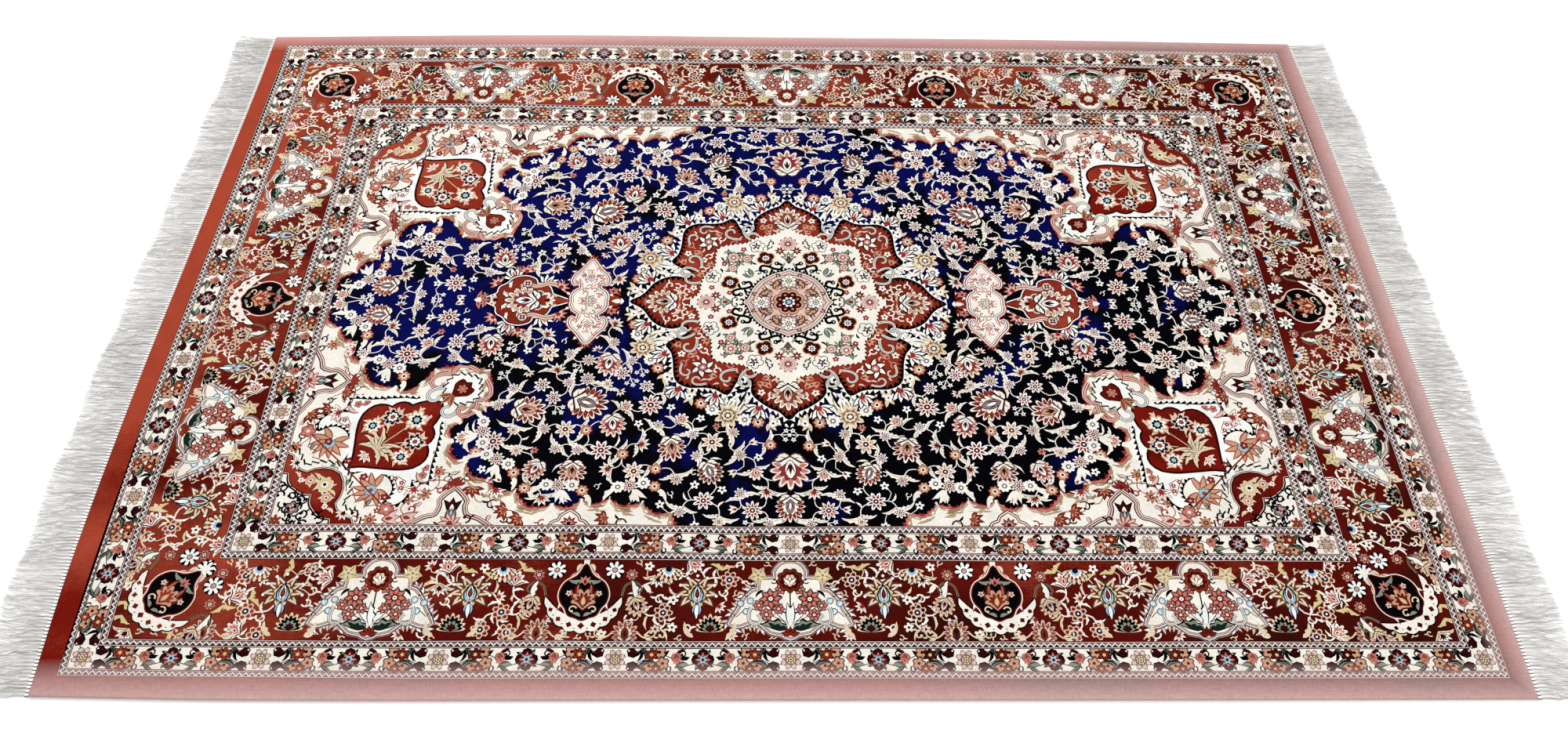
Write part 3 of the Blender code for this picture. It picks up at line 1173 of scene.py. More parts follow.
def main_border():
    band(BORDER, 0.0, BORDER[0] - INNER[0], "red")
    heroes = []
    nodes = []

    def put(motif, place, reach):
        heroes.append((motif, place))
        hold(place(0), reach)

    def put_cartouche(place):
        put(cartouche, place, 0.052)
        for side in (-1, 1):
            hold(place(side * 0.052 + 0.018j), 0.030)
            hold(place(side * 0.080 + 0.030j), 0.010)

    def put_lozenge(place):
        put(lozenge, place, 0.048)
        for side in (-1, 1):
            hold(place(side * 0.036 - 0.008j), 0.024)
            hold(place(side * 0.074 + 0.008j), 0.017)
            hold(place(side * 0.074 - 0.018j), 0.011)
        hold(place(-0.046j), 0.014)

    def put_span(line, start, end):
        """The motifs between the cartouche at start and the lozenge at end."""
        side = 1 if end > start else -1
        for motif, share, y, turn, reach in BORDER_SPAN:
            place = line(start + (end - start) * share, y, turn)
            put(motif, place, reach)
            if motif is gold_palmette:
                hold(place(0.022), 0.026)
                hold(place(-0.012), 0.008)
                nodes.append(place(0.020))
            if motif is brick_rosette:
                nodes.append(place(0))
        nodes.append(line(start + (end - start) * 0.74 - side * 0.002, 0.008)(0))

    for long_side, cartouches, lozenges, spans in BORDER_SIDES:
        reach = (BORDER[1] if long_side else BORDER[0]) - BORDER_MIDDLE
        rug_side = side_place(long_side)

        def line(x, y=0.0, turn=0.0):
            return rug_side.inside(complex(x, reach + y), turn)

        for x in cartouches:
            put_cartouche(line(x))
        for x in lozenges:
            put_lozenge(line(x))
        for start, end in spans:
            put_span(line, start, end)
    corner = Place(complex(BORDER[0] - CORNER_INSET, BORDER[1] - CORNER_INSET), -45)
    put_lozenge(corner)
    for side in (-1, 1):
        put(white_daisy, corner.inside(side * 0.031 - 0.0525j, 12), 0.014)
        put(pink_daisy, corner.inside(side * 0.052 - 0.035j), 0.009)

    def inside(p):
        in_outer = p.real < BORDER[0] - 0.005 and p.imag < BORDER[1] - 0.005
        in_inner = p.real < INNER[0] + 0.005 and p.imag < INNER[1] + 0.005
        return in_outer and not in_inner

    red_ground(inside, (0, complex(*BORDER)), nodes)
    for motif, place in heroes:
        motif(place)


# The guards: (outline, (inset, width) of the outer stripe, the flowers and the inner stripe, half repeats
# along and across).
GUARDS = (
    (GUARD, (0.0, 0.0116), (0.0116, 0.0310), (0.0426, 0.0114), (8, 5)),
    (INNER, (0.0, 0.0130), (0.0130, 0.0290), (0.0420, 0.0135), (6, 4)),
)


def build_borders():
    main_border()
    for outline, outer_stripe, flowers, inner_stripe, halves in GUARDS:
        stripe(outline, *outer_stripe)
        floral_guard(outline, *flowers, *halves)
        stripe(outline, *inner_stripe)


# ------------------------------------------------------------ field: outlines

FIELD_EDGE = (0.740 - 0.030j, 0.738 + 0.016j, 0.716 + 0.056j, 0.684 + 0.084j, 0.660 + 0.126j,
              0.608 + 0.170j, 0.572 + 0.164j, 0.554 + 0.137j, 0.508 + 0.132j, 0.468 + 0.138j,
              0.458 + 0.176j, 0.463 + 0.218j, 0.497 + 0.240j, 0.503 + 0.270j, 0.477 + 0.304j,
              0.440 + 0.331j, 0.398 + 0.350j, 0.344 + 0.374j, 0.304 + 0.367j, 0.262 + 0.363j,
              0.214 + 0.370j, 0.168 + 0.386j, 0.132 + 0.430j)
FIELD_BULGES = (0.12, 0.20, 0.12, 0.20, 0.22, 0.2, -0.1, -0.12, -0.10, -0.1, -0.1, 0.14, 0.22, 0.22,
                0.2, 0.22, 0.22, 0.14, 0.12, 0.15, 0.15, 0.15)
MEDALLION = (0.260, 0.244 + 0.010j, 0.233 + 0.021j, 0.222 + 0.038j, 0.205 + 0.050j, 0.186 + 0.054j,
             0.167 + 0.050j, 0.160 + 0.060j, 0.167 + 0.068j, 0.180 + 0.074j, 0.195 + 0.086j,
             0.186 + 0.101j, 0.182 + 0.118j, 0.181 + 0.134j, 0.179 + 0.151j, 0.171 + 0.163j,
             0.155 + 0.170j, 0.134 + 0.170j, 0.115 + 0.173j, 0.096 + 0.183j, 0.086 + 0.167j,
             0.075 + 0.146j, 0.065 + 0.150j, 0.057 + 0.159j, 0.058 + 0.178j, 0.048 + 0.193j,
             0.029 + 0.207j, 0.014 + 0.214j, 0.228j)
OCTOFOIL = (0.157, 0.147 + 0.009j, 0.140 + 0.021j, 0.137 + 0.043j, 0.130 + 0.061j, 0.118 + 0.075j,
            0.117 + 0.096j, 0.114 + 0.113j, 0.092 + 0.119j, 0.068 + 0.123j, 0.053 + 0.134j,
            0.034 + 0.140j, 0.016 + 0.145j, 0.158j)
PENDANT = (0.027, 0.028 + 0.008j, 0.024 + 0.018j, 0.015 + 0.025j, 0.0145 + 0.032j, 0.018 + 0.040j,
           0.026 + 0.035j, 0.029 + 0.044j, 0.025 + 0.054j, 0.017 + 0.062j, 0.009 + 0.073j, 0.084j)


def four_way(quarter):
    """A closed outline, anticlockwise, from the quarter between the two middle lines."""
    top = arch([complex(p) for p in quarter])
    return top + [p.conjugate() for p in top[-2:0:-1]]


def flames():
    """Feathery tufts where the navy ground meets the ivory; they lean away from each cusp."""
    for length, width, back, colour in (
        (0.0270, 0.0098, -0.001, "sand"), (0.0235, 0.0066, 0.000, "ivory"), (0.0215, 0.0080, 0.001, "olive"),
        (0.0180, 0.0092, 0.002, "pink"), (0.0150, 0.0066, 0.003, "rose"), (0.0100, 0.0078, 0.003, "black"),
    ):
        for a, b, bulge in zip(FIELD_EDGE, FIELD_EDGE[1:], FIELD_BULGES):
            count = round(abs(b - a) / 0.0078)
            out = -1j * (b - a)
            for k in range(count):
                t = (k + rng.uniform(0.3, 0.7)) / count
                at = a + (b - a) * t + out * bulge * 4 * t * (1 - t)
                outwards = facing(out + (b - a) * bulge * 4 * (2 * t - 1))
                lean = 42 * (1 - 2 * t)
                tuft = Place(at, outwards + lean).inside(-back)
                bend = 0.9 if lean > 0 else -0.9
                plume(tuft, length * rng.uniform(0.8, 1.15), width, bend, colour, None, 5)


# ------------------------------------------------------------ field: navy ground

# The field's flowers: (motif, its size as a share of the flower's, how far back it starts, its own values).
FLOWERS = dict(
    ivory_lotus=(palmette, 1.0, -0.45, "ivory", "pink", "rose", "white", "maroon", "umber"),
    pink_lotus=(palmette, 1.0, -0.45, "ivory", "brick", "ivory", "mauve", "white", "maroon", 11),
    brick_lotus=(palmette, 1.0, -0.45, "ivory", "brick", "blush", "peach", "maroon", "maroon"),
    pink_bloom=(bloom, 0.5, 0, 10, "ivory", "rose", "maroon", "ivory"),
    white_bloom=(bloom, 0.5, 0, 8, "white", "rose", "maroon", "ivory"),
    cream_bloom=(bloom, 0.5, 0, 8, "ivory", "peach", "maroon", "ivory"),
    brick_bloom=(rimmed_bloom, 0.5, 0, 8, "brick", "peach", "ivory", "maroon"),
    pale_bloom=(rimmed_bloom, 0.5, 0, 9, "white", "ivory", "grey", "white"),
    lily_bloom=(fan, 1.0, -0.35, "ivory", "rose", "brick"),
)


def flower(place, kind, size):
    motif, share, back, *values = FLOWERS[kind]
    motif(place.inside(back * size), share * size, *values)


# Buds on twigs, and flowers with big leaves: (upper limit of the chance, motif, spot, its own values).
NAVY_BUDS = (
    (0.26, spray, -0.008, 0.0150, "white", "maroon", "ivory"),
    (0.52, daisy, 0, 0.0072, 5, "white", "maroon", None, 0.5),
    (0.66, daisy, 0, 0.0064, 6, "pink", "maroon", None, 0.45),
    (0.86, tulip, -0.006, 0.0140, "ivory", "rose"),
    (1.00, fan, -0.006, 0.0145, "ivory", "rose", "brick"),
)
NAVY_FLOWERS = (
    (0.30, flower, 0, "white_bloom", 0.0195),
    (0.46, flower, 0, "pink_bloom", 0.0205),
    (0.66, fan, -0.008, 0.0215, "ivory", "rose", "brick", "black"),
    (0.82, bud_palmette, -0.011, 0.0235, "ivory", "pink", "maroon", "black"),
    (0.92, flower, 0, "cream_bloom", 0.0205),
    (1.00, flower, 0, "brick_bloom", 0.0200),
)
# The navy ground's main flowers: (x, y, size, turn, kind).
NAVY_HEROES = (
    (0.310, 0.199, 0.060, 160, "pink_lotus"), (0.400, 0.212, 0.050, 170, "brick_lotus"),
    (0.214, 0.203, 0.040, 0, "pink_bloom"), (0.382, 0.106, 0.036, 0, "cream_bloom"),
    (0.285, 0.126, 0.044, 80, "ivory_lotus"), (0.317, 0.119, 0.024, 0, "pink_bloom"),
    (0.316, 0.155, 0.026, 0, "pink_bloom"), (0.262, 0.143, 0.027, 0, "white_bloom"),
    (0.222, 0.168, 0.024, 0, "white_bloom"), (0.365, 0.190, 0.027, 0, "white_bloom"),
    (0.385, 0.166, 0.027, 0, "white_bloom"), (0.550, 0.036, 0.038, 0, "pink_bloom"),
    (0.603, 0.109, 0.040, 0, "pink_bloom"), (0.446, 0.270, 0.038, 0, "pink_bloom"),
    (0.283, 0.283, 0.036, 0, "white_bloom"), (0.475, 0.091, 0.042, 90, "ivory_lotus"),
    (0.269, 0.239, 0.040, 100, "ivory_lotus"), (0.178, 0.281, 0.044, 100, "brick_lotus"),
    (0.321, 0.322, 0.042, 90, "brick_lotus"), (0.056, 0.384, 0.032, 0, "pink_bloom"),
    (0.126, 0.369, 0.032, 0, "white_bloom"), (0.000, 0.318, 0.060, 90, "ivory_lotus"),
    (0.000, 0.380, 0.044, 90, "pink_lotus"), (0.340, 0.246, 0.034, 0, "cream_bloom"),
    (0.232, 0.320, 0.034, 20, "cream_bloom"), (0.378, 0.318, 0.036, 60, "ivory_lotus"),
    (0.118, 0.322, 0.040, 110, "pink_lotus"), (0.117, 0.271, 0.036, 0, "cream_bloom"),
    (0.664, 0.030, 0.044, 0, "pink_lotus"), (0.590, 0.062, 0.030, 0, "cream_bloom"),
    (0.530, 0.083, 0.030, 0, "white_bloom"),
)
# How strongly the bouquet's arc bends: its height over the square of its half width.
BOUQUET_BEND = 2.4
# Clusters that follow the field's scallops: (x, y, turn), +x along the edge and +y out of the field.
EDGE_CLUSTERS = ((0.688, 0.050, 130), (0.620, 0.134, 142), (0.464, 0.262, 85), (0.428, 0.306, 145),
                 (0.330, 0.346, 168), (0.226, 0.344, 180))


def on_arc(x):
    """A point of the bouquet's arc, which bends back on both sides of its middle."""
    return complex(x, -BOUQUET_BEND * x * x)


def bouquet(place):
    """The arc of flowers that follows the medallion, with fanned leaves under it."""
    for side in (-1, 1):
        grow(place, (
            (plume, side * 0.010 - 0.006j, -90 + side * 34, 0.046, 0.0135, -0.55 * side, "ivory", None, 7),
            (leaf, side * 0.011 - 0.010j, -90 + side * 32, 0.034, 0.0040, -0.55 * side, "olive"),
            (plume, side * 0.004 - 0.010j, -90 + side * 9, 0.038, 0.0100, -0.4 * side, "ivory", None, 6),
            (leaf, side * 0.004 - 0.012j, -90 + side * 8, 0.028, 0.0030, -0.4 * side, "olive"),
        ))
        stalk = [0j, complex(side * 0.012, -0.024), complex(side * 0.020, -0.042)]
        draw(place, ribbon(smooth(stalk, 3), 0.0015), "ivory")
        draw(place, circle(0.0032, 7, stalk[-1]), "white")
    stack(place, (
        (lobes, "cream", 0.0235, 8, 0.42, 4, 0.5, 1.2), (star, "olive", 0.0170, 8, 0.45, 0.0),
        (lobes, "brick", 0.0125, 8, 0.2, 3), (lobes, "cream", 0.0106, 8, 0.2, 3),
        (circle, "maroon", 0.0060, 8), (star, "white", 0.0048, 5, 0.5),
    ))
    for side in (-1, 1):
        for x, size, kind in ((0.0275, 0.023, "pale_bloom"), (0.0480, 0.023, "brick_bloom")):
            flower(place.inside(on_arc(side * x)), kind, size)
        tail = place.inside(on_arc(side * 0.070), 0 if side > 0 else 180)
        for turn in (-100, 100, -50, 50, 0):
            leaf(tail.inside(-0.004, turn), 0.0170, 0.0075, 0.2, "cream")
        draw(tail, lobes(0.0070, 7, 0.3, 2), "white")
        draw(tail, circle(0.0024, 5), "grey")


def edge_cluster(place):
    """A short arc of rosettes in a scallop of the field's edge."""
    for turn in (-24, 204):
        plume(place.inside(complex(0.030 if turn < 0 else -0.030, -0.006), turn), 0.026, 0.0095,
              -0.5 if turn < 0 else 0.5, "ivory", None, 6)
    for turn in (-60, -90, -120):
        plume(place.inside(-0.006j, turn), 0.024, 0.0075, 0.3, "ivory", None, 5)
    for x, y, size, kind in ((-0.027, -0.003, 0.020, "pale_bloom"), (0.027, -0.002, 0.021, "brick_bloom"),
                             (-0.010, 0.000, 0.025, "pink_bloom"), (0.010, 0.004, 0.021, "pale_bloom")):
        flower(place.inside(complex(x, y)), kind, size)


def fill_navy(inside, heroes):
    """Vines from flower to flower, with sawn leaves and small buds on twigs."""
    box = (0, complex(*FIELD))
    medium = scatter(inside, box, 0.0162, 9000, 0.6)
    nodes = [place.at for place, _, _ in heroes] + medium
    stems = []
    onward = {}
    for a, b in tree(nodes, VINE_REACH):
        bend = 0.28 if rng.random() < 0.7 else -0.28
        stems.extend(vine(a, b, bend, 0.0015, "ivory")[1:-1])
        onward[b] = facing(b - ((a + b) / 2 + 1j * (b - a) * bend))
    for point in scatter(inside, box, 0.0110, 14000, 0.4):
        _, middle = twig(point, stems, 0.0011, "ivory")
        one_of(Place(point, facing(point - middle)), NAVY_BUDS)

    def leaf_colour():
        return "ivory" if rng.random() < 0.7 else "sand"

    for point in scatter(inside, box, 0.0086, 12000, 0.3):
        if not side_leaf(point, stems, 0.024, 0.0055, 0.0038, leaf_colour):
            curl(Place(point, rng.uniform(0, 360)).inside(-0.004 - 0.004j), 0.0110, 0.0014, "ivory")
    for point in medium:
        place = Place(point, onward.get(point, rng.uniform(0, 360)))
        side = rng.choice((-1, 1))
        acanthus_leaf(place.inside(-0.010, 28 * side), 0.0300, 0.9 * side, "ivory", "sand")
        acanthus_leaf(place.inside(-0.012, -50 * side), 0.0230, -0.8 * side, "ivory", "sand")
        one_of(place, NAVY_FLOWERS)
    for place, kind, size in heroes:
        flower(place, kind, size)


def navy_ground(edge):
    keep_out = grown(smooth(four_way(MEDALLION), 2, True), 0.014)
    shore = grown(edge, -0.008)

    def inside(point):
        return contains(shore, point) and not contains(keep_out, point)

    bouquets = (Place(0.232 + 0.092j, -64), Place(0.094 + 0.222j, -20))
    clusters = [Place(complex(x, y), turn) for x, y, turn in EDGE_CLUSTERS]
    for place in bouquets:
        for x in (-0.070, -0.048, -0.028, 0, 0.028, 0.048, 0.070):
            hold(place(on_arc(x)), 0.0125)
        for x in (-0.024, 0.0, 0.024):
            hold(place(x - 0.030j), 0.014)
    for place in clusters:
        for x in (-0.030, -0.010, 0.010, 0.030):
            hold(place(x), 0.011)
    for at, reach in ((0.326, 0.032), (0.326 + 0.050j, 0.030), (0.326 + 0.078j, 0.012), (0.385, 0.030),
                      (0.412, 0.046), (0.440, 0.056), (0.466, 0.046), (0.492, 0.024), (0.278, 0.026)):
        hold(at, reach)
    heroes = []
    for x, y, size, turn, kind in NAVY_HEROES:
        heroes.append((Place(complex(x, y), turn), kind, size))
        hold(complex(x, y), size * 0.46)
    fill_navy(inside, heroes)
    for place in clusters:
        edge_cluster(place)
    for place in bouquets:
        bouquet(place)


# ------------------------------------------------------------ field: medallion and pendants


def shell(place):
    """A fan of petals that stands on the medallion's edge."""
    for turn in (-64, 64, -32, 32, 0):
        leaf(place.inside(0, turn), 0.0225, 0.0084, 0.0, "white", "black")
        draw(place.inside(0.002, turn), drop(0.0130, 0.0050, 3), "pink")
    draw(place, circle(0.0058, 8), "rose")


def medallion():
    place = Place()
    outline = grown(smooth(four_way(MEDALLION), 3, True), -0.0022)
    even = spaced(grown(outline, 0.0120), 0.0125)
    out = normals(even)
    for k, (p, n) in enumerate(zip(even, out)):
        leaf(Place(p, facing(n) + 24), 0.0080 + 0.0040 * (k % 2), 0.0046, 0.5, "white")
    for x, y in ((0.228, 0.042), (0.196, 0.110), (0.176, 0.172), (0.114, 0.184), (0.048, 0.206)):
        k = min(range(len(even)), key=lambda index: abs(even[index] - complex(x, y)))
        shell(Place(even[k], facing(out[k])))
    draw(place, toothed(grown(outline, 0.0036), 0.0096, 0.0070, 0.3), "white")
    draw(place, grown(outline, 0.0032), "black")
    hooks = toothed(grown(outline, -0.0066), 0.0084, 0.0074, 0.35)
    draw(place, hooks, "brick")
    inner = smooth(four_way(OCTOFOIL), 3, True)
    red_flowers(outline, inner)
    draw(place, toothed(grown(inner, 0.0052), 0.0066, 0.0030, 0.3), "maroon")
    draw(place, toothed(grown(inner, 0.0036), 0.0080, 0.0038, 0.3), "ivory")
    draw(place, inner, "ivory")
    ivory_flowers(inner)
    hub()


# The red lobes' buds, then the ivory ring's: (upper limit of the chance, motif, spot, its own values).
LOBE_BUDS = (
    (0.35, curl, -0.004 - 0.005j, 0.0150, 0.0024, "ivory"),
    (0.60, curl, -0.004 - 0.005j, 0.0150, 0.0024, "pink"),
    (0.80, daisy, 0, 0.0066, 5, "ivory", "maroon", None, 0.4),
    (1.00, tulip, -0.006, 0.014, "peach", "rose"),
)
RING_BUDS = (
    (0.35, leaf, -0.005, 0.0115, 0.0044, 0.6, ("green", "sage")),
    (0.75, curl, -0.004 - 0.004j, 0.0120, 0.0022, "black"),
    (1.00, daisy, 0, 0.0056, 5, "rose", "cream", None, 0.35),
)


def red_flowers(outline, inner):
    """Scrolls, flowers and leaves in the medallion's red lobes."""
    heroes = ((0.206, 0.0, 0), (0.0, 0.184, 90))
    star_spot = 0.136 + 0.131j
    # Thick scrolls that roll away from each cusp and lie in the diagonal lobe: (x, y, turn, size, flip).
    scrolls = (
        (0.163, 0.040, 10, 0.024, False), (0.168, 0.074, 8, 0.022, True), (0.050, 0.142, 80, 0.024, True),
        (0.078, 0.158, 84, 0.022, False), (0.150, 0.096, 60, 0.022, True), (0.104, 0.142, 34, 0.022, False),
        (0.170, 0.140, 100, 0.018, False), (0.146, 0.164, -12, 0.018, True),
    )
    for x, y, _ in heroes:
        hold(complex(x, y), 0.022)
    hold(star_spot, 0.016)
    for x, y, turn, size, flip in scrolls:
        hold(Place(complex(x, y), turn, 1, flip)(size * 0.5j), size * 0.45)
    shore = grown(outline, -0.010)
    hill = grown(inner, 0.011)

    def inside(point):
        return contains(shore, point) and not contains(hill, point)

    box = (0, 0.26 + 0.23j)
    for point in scatter(inside, box, 0.0066, 3500, 0.5):
        one_of(Place(point, rng.uniform(0, 360)), LOBE_BUDS)
    for point in scatter(inside, box, 0.0038, 3500, 0.5):
        place = Place(point, rng.uniform(0, 360)).inside(-0.005)
        leaf(place, 0.0110, 0.0040, 0.8, rng.choice(("pink", "blush")))
    for x, y, turn, size, flip in scrolls:
        volute(Place(complex(x, y), turn, 1, flip), size, "ivory", "black")
    for turn in range(0, 360, 60):
        leaf(Place(star_spot, turn + 15), 0.0190, 0.0095, 0.3, "ivory", "maroon")
    stack(Place(star_spot), (
        (circle, "maroon", 0.0080, 10), (circle, "pink", 0.0062, 8), (circle, "ivory", 0.0026, 6),
    ))
    for x, y, turn in heroes:
        hero = Place(complex(x, y), turn)
        for flip in (False, True):
            curl(hero.twin(-0.030 + 0.006j, 30, flip), 0.018, 0.0022, "cream")
            plume(hero.twin(-0.008 + 0.010j, 40, flip), 0.024, 0.0075, 0.6, "cream", None, 5)
        palmette(hero.inside(-0.022), 0.050, "ivory", "peach", "rust", "blush", "maroon", "black")


def four_lobed(place):
    stack(place, (
        (lobes, "yellow", 0.0165, 4, 0.22, 4), (lobes, "rust", 0.0148, 4, 0.26, 4),
        (lobes, "maroon", 0.0136, 4, 0.30, 4), (lobes, "white", 0.0072, 8, 0.4, 2),
        (circle, "maroon", 0.0036, 6), (circle, "white", 0.0017, 5),
    ))


def pansy(place):
    """A grey-pink flower of rounded petals with dark lines."""
    for turn in (0, 72, 144, 216, 288):
        draw(place, circle(0.0066, 9, cmath.rect(0.0078, math.radians(turn))), "black")
    for turn in (0, 72, 144, 216, 288):
        draw(place, circle(0.0052, 8, cmath.rect(0.0080, math.radians(turn))), "ivory")
    for turn in (0, 72, 144, 216, 288):
        draw(place.inside(0.002, turn), drop(0.0095, 0.0036, 3), "grey")
    draw(place, circle(0.0036, 6), "black")
    draw(place, circle(0.0018, 5), "white")


def s_scroll(place):
    """A thick dark S with a leaf on its back."""
    path = smooth([0.012 - 0.004j, 0.018 + 0.003j, 0.012 + 0.010j, 0.003 + 0.004j, -0.003 - 0.004j,
                   -0.012 - 0.010j, -0.018 - 0.003j, -0.012 + 0.004j], 3)
    for end in (path[0], path[-1]):
        draw(place, circle(0.0046, 7, end), "black")
        draw(place, circle(0.0020, 5, end), "ivory")
    draw(place, ribbon(path, 0.0050, 1.0), "black")
    leaf(place.inside(0.002j, 100), 0.015, 0.0056, 0.6, "black")
    leaf(place.inside(-0.002j, -80), 0.015, 0.0056, 0.6, "black")


def ivory_flowers(inner):
    """The ring of flowers between the hub and the octofoil's edge."""
    four_lobes = (0.0964 + 0.0425j, 0.0382 + 0.0945j)
    pansies = (0.1250 + 0.0545j, 0.0525 + 0.1205j)
    scrolls = ((0.0760 + 0.0285j, 120), (0.0290 + 0.0735j, 155))
    clusters = ((0.0919 + 0.0960j, 0.0128), (0.0930 + 0.0735j, 0.0090), (0.0690 + 0.0940j, 0.0096))
    for at in four_lobes:
        hold(at, 0.017)
    for at in pansies:
        hold(at, 0.014)
    for at, turn in scrolls:
        s_scroll(Place(at, turn))
        hold(at, 0.016)
    for at, size in clusters:
        for turn in (45, 135, 225, 315):
            leaf(Place(at, turn), size * 1.55, size * 0.55, 0.3, "sage", "green")
        rimmed_bloom(Place(at, 20), size, 8, "umber", "blush", "rose", "ivory")
        hold(at, size)
    for turn in (14, 40, 66):
        leaf(Place(0.058 + 0.055j, turn), 0.0185, 0.0068, 0.0, "white" if turn == 40 else "sage", "green")
    hold(0.066 + 0.062j, 0.010)
    for x, y, turn in ((0.134, 0.0, 0), (0.0, 0.126, 90)):
        axis = Place(complex(x, y), turn)
        for flip in (False, True):
            leaf(axis.twin(-0.034, 150, flip).inside(-0.012), 0.020, 0.0080, 0.3, "sage", "green")
            bloom(axis.twin(-0.016 + 0.0145j, 0, flip), 0.0090, 7, "brick", "maroon", "cream", "maroon")
        fan(axis.inside(-0.036), 0.020, "sage", "ivory", "brick", "green")
        stack(axis, (
            (lobes, "rose", 0.0165, 10, 0.34, 4), (lobes, "blush", 0.0148, 10, 0.36, 4),
            (star, "mauve", 0.0105, 10, 0.5, 0.5), (circle, "rose", 0.0052, 8), (circle, "ivory", 0.0026, 6),
        ))
        hold(axis.at, 0.018)
        hold(axis(-0.022), 0.018)
    for at in four_lobes:
        four_lobed(Place(at, 20))
    for at in pansies:
        pansy(Place(at, 20))

    def inside(point):
        return contains(grown(inner, -0.007), point) and abs(point) > 0.076

    for point in scatter(inside, (0, 0.165 + 0.15j), 0.0054, 1800, 0.4):
        one_of(Place(point, rng.uniform(0, 360)), RING_BUDS)


def hub():
    """The blush wheel in the middle of the medallion."""
    place = Place()
    rim = smooth(four_way([0.0735, 0.0665 + 0.008j, 0.0600 + 0.026j, 0.0455 + 0.046j, 0.025 + 0.060j,
                           0.008 + 0.0655j, 0.070j]), 3, True)
    draw(place, toothed(grown(rim, 0.0012), 0.0066, 0.0052, 0.3), "black")
    layered(place, rim, ((0.0, "ivory"), (-0.0020, "umber"), (-0.0032, "blush"), (-0.0078, "umber"),
                         (-0.0090, "blush")))
    for turn in (45, 135, 225, 315):
        spoke = Place(0, turn)
        for flip in (False, True):
            leaf(spoke.twin(0.030 + 0.004j, 14, flip), 0.0240, 0.0090, 0.7, "peach", "umber")
            for at, turn_in, length in ((0.036 + 0.004j, 30, 0.0160), (0.046 + 0.018j, 60, 0.0120),
                                        (0.034 + 0.018j, -40, 0.0110), (0.052 + 0.008j, 100, 0.0100),
                                        (0.028 + 0.014j, 80, 0.0100), (0.050 + 0.024j, -20, 0.0090)):
                curl(spoke.twin(at, turn_in, flip), length, 0.0022, "umber")
        leaf(spoke.inside(0.040), 0.0170, 0.0074, 0.0, "ivory", "umber", "pink")
    for turn in (0, 90, 180, 270):
        spot = Place(cmath.rect(0.0450, math.radians(turn)), turn)
        stack(spot, (
            (lobes, "black", 0.0138, 8, 0.36, 3), (lobes, "white", 0.0124, 8, 0.46, 4),
            (star, "black", 0.0074, 8, 0.45, 0.5), (circle, "cream", 0.0040, 7), (circle, "ink", 0.0018, 4),
        ))
        leaf(spot.inside(-0.020, 180), 0.0090, 0.0060, 0.0, "maroon")
    stack(place, (
        (lobes, "umber", 0.0275, 8, 0.14, 4), (lobes, "peach", 0.0264, 8, 0.16, 4),
        (lobes, "black", 0.0225, 8, 0.22, 5), (lobes, "maroon", 0.0212, 8, 0.24, 5),
    ))
    for k in range(8):
        draw(place, circle(0.0026, 5, cmath.rect(0.0160, math.pi * (k + 0.5) / 4)), "pink")
    stack(place, (
        (lobes, "white", 0.0112, 8, 0.34, 3), (circle, "ink", 0.0070, 8), (star, "sky", 0.0056, 6, 0.45),
    ))


def mirror_spots(place, spots):
    """Places at the spots and at their mirror images beside the y axis: (spot, turn)."""
    for flip in (False, True):
        for at, turn in spots:
            at_x = -at.real if flip else at.real
            yield Place(place(complex(at_x, at.imag)), 180 - turn if flip else turn)


def pink_pendant():
    """The upright pale cartouche between the medallion and the red pendant."""
    place = Place(0.326)
    outline = smooth(four_way(PENDANT), 3, True)
    # The hooks at its waist and the crown on its tip.
    spikes = ((0.032 + 0.046j, -60), (0.026 + 0.060j, -20), (0.014 + 0.074j, 10), (0.032 + 0.014j, 0))
    for spike in mirror_spots(place, spikes):
        plume(spike.inside(-0.004), 0.0120, 0.0058, 0.4, "ivory", None, 5)
    fan(place.inside(0.080j, 90), 0.0200, "brick", "cream", "rust", "black")
    draw(place, toothed(grown(outline, 0.0052), 0.0064, 0.0026, 0.3), "rose")
    layered(place, outline, (
        (0.0044, "ivory"), (0.0024, "black"), (0.0008, "white"), (-0.0012, "pink"), (-0.0026, "ivory"),
    ))
    swirls = ((0.010 + 0.014j, 60), (0.017 + 0.006j, 160), (0.006 + 0.030j, 100), (0.014 + 0.048j, 40),
              (0.008 + 0.062j, 120), (0.020 + 0.046j, 200))
    for swirl in mirror_spots(place, swirls):
        curl(swirl, 0.0110, 0.0020, "pink")
    for turn in range(0, 360, 45):
        leaf(place.inside(0, turn + 22), 0.0130, 0.0062, 0.2, "blush", "mauve", "ivory")
    stack(place, (
        (circle, "mauve", 0.0050, 8), (circle, "white", 0.0040, 7), (circle, "rose", 0.0020, 5),
    ))
    upper = place.inside(0.050j, 90)
    for flip in (False, True):
        grow(upper, (
            (leaf, -0.012, 66, 0.0170, 0.0064, -0.7, "white", "umber"),
            (leaf, -0.004 + 0.004j, 20, 0.0140, 0.0052, 0.8, "pink", "mauve"),
            (curl, -0.026 + 0.002j, 20, 0.0120, 0.0016, "umber", False),
        ), flip)
    bud_palmette(upper.inside(-0.010), 0.0210, "white", "pink", "rose", "umber")


